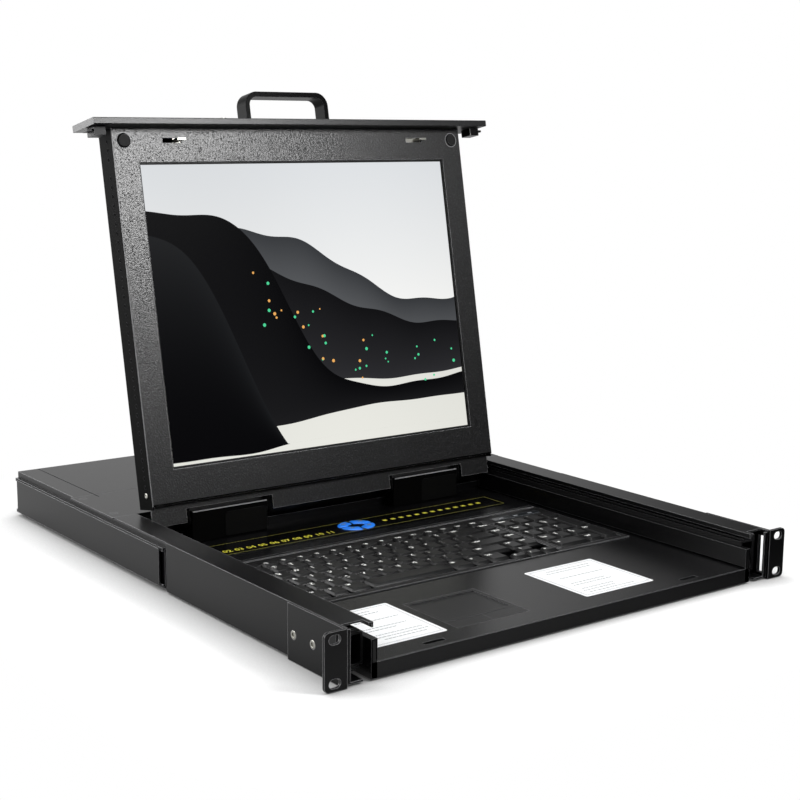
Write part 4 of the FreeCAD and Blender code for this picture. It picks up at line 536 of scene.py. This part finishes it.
def ring_pads():
    """Four cushions of an oval ring. Across a pad s runs from the hole to the rim, along its quarter turn t
    runs from end to end, and the level is rise (1 - (2 s - 1)^6) (1 - (2 t - 1)^14)."""
    across = np.linspace(0, 1, 9)
    along = np.linspace(0, 1, 15)
    s, t = np.meshgrid(across, along, indexing="ij")
    points, faces = [], []
    for quarter in range(4):
        angle = (quarter + 0.5 + (t - 0.5) * PAD_SHARE) * math.pi / 2
        x = RING_X + (RING_HOLE_X + PAD_WIDTH_X * s) * np.cos(angle)
        y = RING_Y + (RING_HOLE_Y + PAD_WIDTH_Y * s) * np.sin(angle)
        level = STRIP_TOP + PAD_RISE * (1 - (2 * s - 1) ** 6) * (1 - (2 * t - 1) ** 14)
        points.append(bench(x, y, level).reshape(-1, 3))
        faces.append(grid_faces(len(across), len(along), False) + quarter * s.size)
    return np.concatenate(points), np.concatenate(faces)


points, faces = ring_pads()
pads = piece("menu_pads", points, faces[:, ::-1], blue_silicone, "drawer", smooth=True)
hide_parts("control_pad")


# Screws, vents and small hardware

PROUD = 0.05             # mm by which thin inlays and prints stand out of their face
SQUARE = 0.1             # mm, the corner radius of thin bars that look square
SCREW_HEAD = [(3.4, -0.4), (3.4, 0.05), (3.15, 0.3), (2.6, 0.42), (1.9, 0.42), (1.7, 0.3), (1.6, -0.7),
              (0.01, -0.8)]
LEG_SCREWS = [(20.7, 40.8), (20.7, 66.1)]
left_heads, head_faces = turned(SCREW_HEAD, LEG_SCREWS, on_leg_left, 24)
right_heads, right_faces = turned(SCREW_HEAD, [(y, height) for height, y in LEG_SCREWS], on_leg_right, 24)
heads = piece("leg_screw_heads", np.concatenate([left_heads, right_heads]),
              head_faces + [f + len(left_heads) for f in right_faces], zinc, "chassis")
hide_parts("ear_screws")

VENT_W, VENT_FIRST, VENT_PITCH, VENT_COUNT, VENT_MISSING = 11.2, 17.1, 8.05, 39, 35
vent_rows = [VENT_FIRST + VENT_PITCH * k for k in range(VENT_COUNT) if k != VENT_MISSING]
VENT_RIM = [(2.05, -0.1), (2.0, 0.1), (1.62, 0.1), (1.55, 0.02)]
VENT_HOLE = [(1.6, -0.1), (1.58, 0.04), (0.01, 0.04)]
for side, place, centres in (("left", on_lid_left, [(u, VENT_W) for u in vent_rows]),
                             ("right", on_lid_right, [(VENT_W, u) for u in vent_rows])):
    points, faces = turned(VENT_RIM, centres, place, 12)
    piece(f"vent_rims_{side}", points, faces, matt_coat, "lid")
    # Each vent hole is a dark disc of painted shade.
    points, faces = turned(VENT_HOLE, centres, place, 12)
    piece(f"vent_holes_{side}", points, faces, hole_shade, "lid")

SIDE_SCREW = [(2.6, -0.3), (2.5, 0.3), (1.9, 0.6), (1.1, 0.65), (0.9, 0.25), (0.01, 0.2)]
for side, place, centre in (("left", on_lid_left, (9.6, 10.9)), ("right", on_lid_right, (10.9, 9.6))):
    points, faces = turned(SIDE_SCREW, [centre], place, 20)
    piece(f"lid_side_screw_{side}", points, faces, zinc, "lid")

# The rear mounting bars: plain strips that lie on their guides, rounded at their corners
BAR_FACE, BAR_SHEET, BAR_CORNER = 223.4, 1.35, 1.5
BAR_FOOT, BAR_TOP, BAR_FRONT, BAR_REAR = 4.1, 36.4, 275.0, 572.0
BARS = {"left": ((BAR_FOOT, BAR_FRONT, BAR_TOP, BAR_REAR), lambda h, y, n: bench(-BAR_FACE - n, y, h)),
        "right": ((BAR_FRONT, BAR_FOOT, BAR_REAR, BAR_TOP), lambda y, h, n: bench(BAR_FACE + n, y, h))}
for side, (box, place) in BARS.items():
    points, faces = plates([box], -BAR_SHEET, 0.0, BAR_CORNER, place)
    bar = piece(f"rear_bar_{side}_strip", points, faces, chassis_coat, f"rear_bar_{side}")
    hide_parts(f"rear_rail_{side}")

# The hinge blocks: a moulded cover with a painted highlight along its top front edge, and an access cover low
# on its front
BLOCK_FRONT, BLOCK_REAR, BLOCK_FOOT, BLOCK_TOP, BLOCK_EDGE = 345.0, 360.0, 13.2, 42.3, 0.7
BLOCK_INNER, BLOCK_OUTER = 73.0, 152.5
ACCESS_FROM, ACCESS_TO, ACCESS_UP, ACCESS_DOWN, ACCESS_CORNER = 34.0, 78.6, 1.5, 5.0, 3.0
HIGHLIGHT_FROM, HIGHLIGHT_TO, HIGHLIGHT_HEIGHT = 1.0, 78.5, 0.9


def on_block(x, height, level):
    """Level is the distance in front of the hinge blocks' front face."""
    return bench(x, BLOCK_FRONT - level, height)


def block_rings(start, end):
    """A block drawn along X: the profile's corners are cut by the edge, and its ends sit in by it too."""
    y, height = rounded_outline((BLOCK_REAR - BLOCK_FRONT) / 2, (BLOCK_TOP - BLOCK_FOOT) / 2, BLOCK_EDGE, 2)
    shrink = np.array([BLOCK_EDGE, 0.0, 0.0, BLOCK_EDGE])[:, None]
    x = np.array([start, start + BLOCK_EDGE, end - BLOCK_EDGE, end])[:, None]
    y = y * (1 - 2 * shrink / (BLOCK_REAR - BLOCK_FRONT)) + (BLOCK_REAR + BLOCK_FRONT) / 2
    height = height * (1 - 2 * shrink / (BLOCK_TOP - BLOCK_FOOT)) + (BLOCK_TOP + BLOCK_FOOT) / 2
    return bench(x, y, height), shell_faces(4, y.shape[1])


for side, start in (("left", -BLOCK_OUTER), ("right", BLOCK_INNER)):
    points, faces = block_rings(start, start + BLOCK_OUTER - BLOCK_INNER)
    block = piece(f"hinge_cover_{side}", points, faces, hinge_plastic, "drawer")
    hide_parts(f"hinge_block_{side}")
    access = [(start + ACCESS_FROM, BLOCK_FOOT + ACCESS_UP, start + ACCESS_TO, BLOCK_TOP - ACCESS_DOWN)]
    points, faces = plates(access, -0.2, 0.45, ACCESS_CORNER, on_block)
    piece(f"hinge_access_{side}", points, faces, hinge_access, "drawer")
    # Painted highlight: a pale strip along the top front edge of the block.
    edges = [(start + HIGHLIGHT_FROM, BLOCK_TOP - HIGHLIGHT_HEIGHT, start + HIGHLIGHT_TO, BLOCK_TOP + PROUD)]
    points, faces = plates(edges, -0.6, PROUD, 0.2, on_block)
    piece(f"hinge_edge_highlight_{side}", points, faces, painted_highlight, "drawer")

# Painted shade in the joints on both sides of the rear cover: dark strips along them
COVER_TOP, COVER_HALF, COVER_FRONT, COVER_REAR, COVER_JOINT = 43.66, 198.0, 439.0, 577.5, 0.9
joint_shades = [(-COVER_HALF - COVER_JOINT, COVER_FRONT, -COVER_HALF, COVER_REAR),
          (COVER_HALF, COVER_FRONT, COVER_HALF + COVER_JOINT, COVER_REAR)]
points, faces = plates(joint_shades, -0.4, 0.04, SQUARE, lambda x, y, n: bench(x, y, COVER_TOP + n), steps=1)
piece("cover_joint_shades", points, faces, hole_shade, "chassis")

# Painted shade in the fold between the lid's face and its apron: a dark strip
APRON_HALF, APRON_FROM, APRON_TO = 193.4, 0.1, 1.5
fold = [(-APRON_HALF, APRON_FROM, APRON_HALF, APRON_TO)]
points, faces = plates(fold, -0.3, 0.06, SQUARE, on_face, steps=1)
piece("apron_fold_shade", points, faces, hole_shade, "lid")

# The front ends of the tray's hemmed walls, closed by narrow plates
TRAY_FRONT, WALL_IN, WALL_OUT, WALL_LOW, WALL_TOP = 2.4, 194.75, 199.85, 1.4, 30.5
ends = [(-WALL_OUT, WALL_LOW, -WALL_IN, WALL_TOP), (WALL_IN, WALL_LOW, WALL_OUT, WALL_TOP)]
points, faces = plates(ends, -0.8, 0.0, 0.4, lambda x, height, level: bench(x, TRAY_FRONT - level, height))
piece("tray_wall_ends", points, faces, tray_coat, "drawer")


# The lit screen

SCREEN_HALF, SCREEN_LOW, SCREEN_HIGH = 168.2, 32.3, 301.0
GLASS = -2.5             # mm, level of the picture, behind the lid's face
BAND_STEPS, BAND_ROWS = 140, 12
SCREEN_DRIFT = 0.03
LIGHTS_LEVEL, LIGHTS_BAND, LIGHTS_RADIUS = 0.13, 26, (0.8, 1.7)
glass = display_light()


def screen_band(name, low_curve, high_curve, level, foot, ridge, haze):
    """A sheet on the glass between two curves u(v). Its colour runs from the foot's tone to the ridge's as
    t^haze, where t is the height in the band, times 1 + drift sin(v / 60 + 40 level), and is kept on its
    points as the picture's colour."""
    v = np.linspace(-SCREEN_HALF, SCREEN_HALF, BAND_STEPS)
    low = np.clip(low_curve(v), SCREEN_LOW, SCREEN_HIGH)
    high = np.clip(np.maximum(high_curve(v), low + 0.01), SCREEN_LOW, SCREEN_HIGH)
    t = np.linspace(0, 1, BAND_ROWS)[:, None]
    points = on_face(v[None, :], low + (high - low) * t, level)
    item = piece(f"screen_{name}", points, grid_faces(BAND_ROWS, BAND_STEPS, False), glass, "lid")
    share = np.broadcast_to(t ** haze, points.shape[:2])[..., None]
    colour = np.array(linear(foot)) * (1 - share) + np.array(linear(ridge)) * share
    colour[..., :3] *= (1 + SCREEN_DRIFT * np.sin(v / 60 + level * 40))[None, :, None]
    picture = item.data.color_attributes.new("picture", "FLOAT_COLOR", "POINT")
    picture.data.foreach_set("color", colour.reshape(-1))


def hill(base, rise, middle, width, ripple, phase):
    """A smooth hill: base + rise / (1 + e^((v - middle) / width)) + ripple (sin(v / 34 + phase) +
    sin(v / 11 + 2 phase) / 3)."""
    return lambda v: (SCREEN_LOW + base + rise / (1 + np.exp((v - middle) / width))
                      + ripple * (np.sin(v / 34 + phase) + np.sin(v / 11 + 2 * phase) / 3))


def level_line(base):
    return hill(base, 0, 0, 1, 0, 0)


screen_band("sky", level_line(120), level_line(400), GLASS, "#f4f4f2", "#dcdfe2", 0.8)
screen_band("lake", level_line(0), level_line(130), GLASS + 0.02, "#e6e6df", "#d8d8d4", 1.4)
screen_band("far_hill", hill(62, 40, 40, 40, 2, 0.3), hill(132, 92, 10, 42, 7, 1.2), GLASS + 0.04,
            "#6a6c6f", "#36383b", 1.2)
screen_band("middle_hill", hill(58, 16, -30, 30, 2, 2.0), hill(112, 84, -10, 34, 6, 0.4), GLASS + 0.06,
            "#2e2e31", "#121214", 0.7)
screen_band("near_hill", hill(34, -10, 10, 24, 1, 1.0), hill(52, 176, -34, 19, 3, 2.2), GLASS + 0.08,
            "#1c1c1e", "#08080a", 0.6)
screen_band("front_hill", hill(8, -6, -60, 12, 1, 0.0), hill(-30, 240, -84, 22, 2, 0.6), GLASS + 0.10,
            "#08080a", "#1c1d1f", 2.5)


def screen_lights(name, hex_colour, count, span, sides=12):
    """Small lights on the far shore: discs of one colour, each a fan of points on a circle."""
    turn = np.linspace(0, 2 * math.pi, sides, endpoint=False)
    middle = rng.uniform(*span, (count, 1))
    height = hill(70, 110, -30, 34, 5, 1.0)(middle) + rng.uniform(-LIGHTS_BAND, LIGHTS_BAND, (count, 1))
    radius = rng.uniform(*LIGHTS_RADIUS, (count, 1))
    points = on_face(middle + radius * np.cos(turn), height + radius * np.sin(turn), GLASS + LIGHTS_LEVEL)
    faces = [np.arange(sides) + k * sides for k in range(count)]
    item = piece(name, points, faces, glass, "lid")
    picture = item.data.color_attributes.new("picture", "FLOAT_COLOR", "POINT")
    picture.data.foreach_set("color", np.tile(linear(hex_colour), count * sides))


screen_lights("screen_green_lights", "#4fd79a", 26, (-60, 160))
screen_lights("screen_amber_lights", "#f0b060", 14, (-70, 60))


# Labels and prints

paper = printed("white_vinyl_label", "#f4f5f6", 0.5)
label_ink = printed("grey_label_print", "#8b8e92", 0.6)
yellow_ink = printed("yellow_overlay_print", "#8f8c34", 0.4)
bright_ink = printed("bright_yellow_overlay_print", "#d6cf3e", 0.4)
DECK = 13.2
PRINT_FOOT = 0.01        # mm, the lower side of a print above its face


def outline_lines(left, near, right, far, width):
    """Four thin rectangles round a rectangle's edge."""
    return [(left, near, right, near + width),
            (left, far - width, right, far),
            (left, near + width, left + width, far - width),
            (right - width, near + width, right, far - width)]


# The labels: two thin frames and lines of short bars in place of words
LABELS = {"label_left": (-180, 26, -112, 106), "label_right": (30, 25, 107, 102.5)}
LABEL_FOOT, LABEL_TOP, LABEL_CORNER = DECK + 0.02, DECK + 0.14, 2.0
FRAMES_IN, FRAME_WIDTH = (2.5, 3.6), 0.3
TEXT_LINES = (0, 1, 4, 7, 8, 10, 11, 12)
TEXT_HEAD, TEXT_PITCH, TEXT_IN, TEXT_HEIGHT, TEXT_GAP = 10, 5.0, 8, 1.1, 0.7
LATEST_START, EARLIEST_END, WORD_WIDTHS, OVERRUN = 10, 26, (1.2, 4.0), 2
for name, (left, near, right, far) in LABELS.items():
    points, faces = plates([(left, near, right, far)], LABEL_FOOT, LABEL_TOP, LABEL_CORNER, bench)
    piece(name, points, faces, paper, "drawer")
    lines = []
    for inset in FRAMES_IN:
        lines += outline_lines(left + inset, near + inset, right - inset, far - inset, FRAME_WIDTH)
    for line in TEXT_LINES:
        y = far - TEXT_HEAD - line * TEXT_PITCH
        x = left + TEXT_IN + rng.uniform(0, LATEST_START)
        end = right - TEXT_IN - rng.uniform(0, EARLIEST_END)
        while x < end:
            width = rng.uniform(*WORD_WIDTHS)
            lines.append((x, y, min(x + width, end + OVERRUN), y + TEXT_HEIGHT))
            x += width + TEXT_GAP
    points, faces = plates(lines, LABEL_TOP + PRINT_FOOT, LABEL_TOP + 0.04, SQUARE, bench, steps=1)
    piece(f"{name}_print", points, faces, label_ink, "drawer")

# The strip: a frame, a row of port numbers on the left and a row of marks on the right
strip_lines = [(-172, 293, 172, 293.45), (-172, 324.2, 172, 324.65), (171.5, 293, 172, 324.65)]
MARK_FROM, MARK_PITCH, MARK_WIDTH, MARK_NEAR, MARK_FAR, MARK_COUNT = 33, 9.6, 4.5, 306.5, 310.5, 13
strip_marks = [(MARK_FROM + MARK_PITCH * k, MARK_NEAR, MARK_FROM + MARK_WIDTH + MARK_PITCH * k, MARK_FAR)
               for k in range(MARK_COUNT)]
points, faces = plates(strip_lines, STRIP_TOP + PRINT_FOOT, STRIP_TOP + PROUD, SQUARE, bench, steps=1)
piece("strip_print", points, faces, yellow_ink, "drawer")
NUMBER_FROM, NUMBER_PITCH, NUMBER_FOOT, NUMBER_SIZE, NUMBER_COUNT = -158, 12.2, 299.5, 9.0, 11
entries = [(f"{k + 1:02d}", NUMBER_FROM + NUMBER_PITCH * k, NUMBER_FOOT, NUMBER_SIZE)
           for k in range(NUMBER_COUNT)]
ink, ink_faces = lettering(entries, bench, STRIP_TOP + PROUD, LEGEND_BOLD)
piece("strip_numbers", ink, ink_faces, bright_ink, "drawer")
points, faces = plates(strip_marks, STRIP_TOP + PRINT_FOOT, STRIP_TOP + PROUD, SQUARE, bench, steps=1)
piece("strip_marks", points, faces, bright_ink, "drawer")

# A small bar on the middle of each menu pad
PAD_TOP = STRIP_TOP + PAD_RISE
BAR_HALF_X, BAR_HALF_Y = 2.2, 0.9
pad_angles = np.radians([45, 135, 225, 315])
bar_x = RING_X + (RING_HOLE_X + PAD_WIDTH_X / 2) * np.cos(pad_angles)
bar_y = RING_Y + (RING_HOLE_Y + PAD_WIDTH_Y / 2) * np.sin(pad_angles)
pad_marks = np.stack([bar_x - BAR_HALF_X, bar_y - BAR_HALF_Y,
                      bar_x + BAR_HALF_X, bar_y + BAR_HALF_Y], axis=-1)
points, faces = plates(pad_marks, PAD_TOP - 0.1, PAD_TOP + PROUD, 0.3, bench, steps=1)
piece("pad_marks", points, faces, yellow_ink, "drawer")

# The bumpers sit in wells: a dark ring of painted shade in each well, and a pale rim, a painted highlight
BUMPER_X, BUMPER_UP, BUMPER_SIDES = 183.0, 322.3, 32
BUMPER_RIM = [(7.2, -0.1), (7.1, 0.12), (6.7, 0.12), (6.6, 0.04), (0.01, 0.04)]
BUMPER_WELL = [(6.6, -0.1), (6.6, 0.08), (0.01, 0.08)]
centres = [(-BUMPER_X, BUMPER_UP), (BUMPER_X, BUMPER_UP)]
points, faces = turned(BUMPER_RIM, centres, on_face, BUMPER_SIDES)
piece("bumper_rim_highlights", points, faces, painted_highlight, "lid")
points, faces = turned(BUMPER_WELL, centres, on_face, BUMPER_SIDES)
piece("bumper_well_shades", points, faces, hole_shade, "lid")

# The lens over the lock lights: a short bar at each of its three lights
LENS_TOP, LENS_PITCH = 15.0, 18
lens_marks = [(126 + LENS_PITCH * k, 246.0, 131 + LENS_PITCH * k, 248.0) for k in range(3)]
points, faces = plates(lens_marks, LENS_TOP + PRINT_FOOT, LENS_TOP + 0.06, 0.3, bench, steps=1)
piece("lens_marks", points, faces, label_ink, "drawer")


# The studio

FLOOR_HEIGHT, FLOOR_HALF = -0.0223, 6.0
TO_FOOTPRINT, FOOTPRINT_HALF = (0.0, -0.29, 0.0), (0.24, 0.29, 0.0)
FADE_REACH, FADE_START = 0.16, 0.15    # metres beside the footprint, and the glow's share at its edge
CONTACT_REACH = 0.11                    # metres within which the object holds light back
BRIGHT_WAY = (-0.766, 0.643, 0.0)      # level direction of the bright side, to the rear left
LAMPS = {                               # place, aim and side in metres, and power in watts
    "softbox_top": ((0.2, 0.5, 2.3), (0.0, 0.25, 0.0), 1.8, 30),
    "softbox_left": ((-1.2, 0.75, 0.72), (0.0, 0.2, 0.0), 0.8, 12),
    "softbox_rear_left": ((-0.95, 1.5, 0.5), (-0.05, 0.2, 0.0), 0.7, 8),
    "softbox_front": ((0.349, -0.602, 0.732), (-0.185, 0.401, 0.346), 0.3, 9),
}


def stand(item, right, up, back, place):
    """Puts a lamp or camera at a place, with its own axes along three directions."""
    bpy.context.scene.collection.objects.link(item)
    rows = np.vstack([np.column_stack([right, up, back, place]), (0, 0, 0, 1)])
    item.matrix_world = Matrix(rows.tolist())


def floor_and_shadow():
    """A pale floor that carries the object's shadow, with a painted contact shadow beside the object."""
    side = np.array([-FLOOR_HALF, FLOOR_HALF])
    x, y = np.meshgrid(side, side)
    points = np.stack([x, y, np.full_like(x, FLOOR_HEIGHT)], axis=-1)
    mesh = bpy.data.meshes.new("floor")
    mesh.from_pydata(points.reshape(-1, 3).tolist(), [], [(0, 1, 3, 2)])
    floor = bpy.data.objects.new("floor", mesh)
    bpy.context.scene.collection.objects.link(floor)
    material, tree, output = new_material("white_paper_floor")
    path = add_node(tree, "ShaderNodeLightPath")
    shown = add_node(tree, "ShaderNodeMath", {0: (path, "Is Camera Ray"), 1: (path, "Is Transmission Ray")},
                     operation="MAXIMUM")
    place = add_node(tree, "ShaderNodeTexCoord")
    # How far a point lies outside the object's footprint fades the paper's shadow into plain white.
    middle = add_node(tree, "ShaderNodeVectorMath", {0: (place, "Object"), 1: TO_FOOTPRINT},
                      operation="ADD")
    spread = add_node(tree, "ShaderNodeVectorMath", {0: (middle, "Vector")}, operation="ABSOLUTE")
    outside = add_node(tree, "ShaderNodeVectorMath", {0: (spread, "Vector"), 1: FOOTPRINT_HALF},
                       operation="SUBTRACT")
    beyond = add_node(tree, "ShaderNodeVectorMath", {0: (outside, "Vector"), 1: (0.0, 0.0, 0.0)},
                      operation="MAXIMUM")
    distance = add_node(tree, "ShaderNodeVectorMath", {0: (beyond, "Vector")}, operation="LENGTH")
    fade = add_node(tree, "ShaderNodeMapRange", {
        "Value": (distance, "Value"), "From Min": 0.0, "From Max": FADE_REACH, "To Min": FADE_START,
        "To Max": 1.0}, interpolation_type="SMOOTHSTEP")
    # Painted contact shadow: the paper's colour darkens where ambient occlusion finds the object near.
    contact_occlusion = add_node(tree, "ShaderNodeAmbientOcclusion", {"Distance": CONTACT_REACH}, samples=8)
    paper_and_painted_shadow = add_node(tree, "ShaderNodeMix", {"Factor": (contact_occlusion, "AO"), "A": linear("#606060"),
                                                  "B": linear("#ffffff")}, data_type="RGBA")
    matt = add_node(tree, "ShaderNodeBsdfDiffuse", {"Color": (paper_and_painted_shadow, "Result")})
    # What the glossy parts mirror of the paper dims towards the front right, as the surround does.
    along = add_node(tree, "ShaderNodeVectorMath", {0: (place, "Object"), 1: BRIGHT_WAY},
                     operation="DOT_PRODUCT")
    mirrored = add_node(tree, "ShaderNodeMapRange", {
        "Value": (along, "Value"), "From Min": -0.25, "From Max": 0.35, "To Min": 0.04, "To Max": 1.0})
    strength = add_node(tree, "ShaderNodeMapRange", {
        "Value": (path, "Is Glossy Ray"), "To Min": (shown, "Value"), "To Max": (mirrored, "Result")})
    share = add_node(tree, "ShaderNodeMath", {0: (fade, "Result"), 1: (path, "Is Glossy Ray")},
                     operation="MAXIMUM")
    glow = add_node(tree, "ShaderNodeEmission", {"Color": (paper_and_painted_shadow, "Result"),
                                                 "Strength": (strength, "Result")})
    lift = add_node(tree, "ShaderNodeMixShader", {"Fac": (share, "Value")})
    tree.links.new(lift.inputs[1], matt.outputs["BSDF"])
    tree.links.new(lift.inputs[2], glow.outputs["Emission"])
    tree.links.new(output.inputs["Surface"], lift.outputs["Shader"])
    mesh.materials.append(material)


def surround():
    """A surround that the camera sees plain white, and that lights the object less from the front right."""
    world = bpy.data.worlds.new("studio")
    bpy.context.scene.world = world
    world.use_nodes = True
    tree = world.node_tree
    tree.nodes.clear()
    output = add_node(tree, "ShaderNodeOutputWorld")
    path = add_node(tree, "ShaderNodeLightPath")
    heading = add_node(tree, "ShaderNodeTexCoord")
    along = add_node(tree, "ShaderNodeVectorMath", {0: (heading, "Generated"), 1: BRIGHT_WAY},
                     operation="DOT_PRODUCT")
    wall = add_node(tree, "ShaderNodeMapRange", {
        "Value": (along, "Value"), "From Min": -0.22, "From Max": 0.05, "To Min": 0.05, "To Max": 1.0},
                    interpolation_type="SMOOTHSTEP")
    mirrored = add_node(tree, "ShaderNodeMath", {0: (path, "Is Glossy Ray"),
                                                 1: (path, "Is Transmission Ray")}, operation="MAXIMUM")
    share = add_node(tree, "ShaderNodeMapRange", {"Value": (mirrored, "Value"), "To Min": 0.4,
                                                  "To Max": 0.82})
    room = add_node(tree, "ShaderNodeMath", {0: (wall, "Result"), 1: (share, "Result")},
                    operation="MULTIPLY")
    level = add_node(tree, "ShaderNodeMath", {0: (room, "Value"), 1: (path, "Is Camera Ray")},
                     operation="MAXIMUM")
    white = add_node(tree, "ShaderNodeBackground", {"Color": linear("#ffffff"),
                                                    "Strength": (level, "Value")})
    tree.links.new(output.inputs["Surface"], white.outputs["Background"])


def lamps():
    """Soft lamps above, at the left, at the rear left and in front."""
    for name, (place, aim, size, power) in LAMPS.items():
        lamp = bpy.data.lights.new(name, "AREA")
        lamp.shape = "SQUARE"
        lamp.size = size
        lamp.energy = power
        item = bpy.data.objects.new(name, lamp)
        item.visible_camera = False
        away = np.array(place) - np.array(aim)
        away = away / np.linalg.norm(away)
        across = np.cross((0, 0, 1), away)
        across = across / np.linalg.norm(across)
        stand(item, across, np.cross(away, across), away, place)


SENSOR_WIDTH = 36.0
FOCAL_PIXELS, IMAGE_PIXELS = 1511.25, 800
CAMERA_PLACE = (-791.4, -819.9, 388.65)


def camera():
    """The photograph's view: place, heading, pitch and roll from the solved camera."""
    heading, pitch, roll = math.radians(36.78), math.radians(-10.45), math.radians(0.48)
    ahead = np.array([math.sin(heading) * math.cos(pitch), math.cos(heading) * math.cos(pitch),
                      math.sin(pitch)])
    right = np.cross(ahead, (0, 0, 1))
    right /= np.linalg.norm(right)
    up = np.cross(right, ahead)
    right, up = right * math.cos(roll) + up * math.sin(roll), up * math.cos(roll) - right * math.sin(roll)
    lens = bpy.data.cameras.new("camera")
    lens.sensor_width = SENSOR_WIDTH
    lens.lens = FOCAL_PIXELS / IMAGE_PIXELS * SENSOR_WIDTH
    lens.clip_end = 50.0
    item = bpy.data.objects.new("camera", lens)
    stand(item, right, up, -ahead, bench(*CAMERA_PLACE))
    bpy.context.scene.camera = item


floor_and_shadow()
surround()
lamps()
camera()
bpy.context.scene.view_settings.view_transform = "Standard"
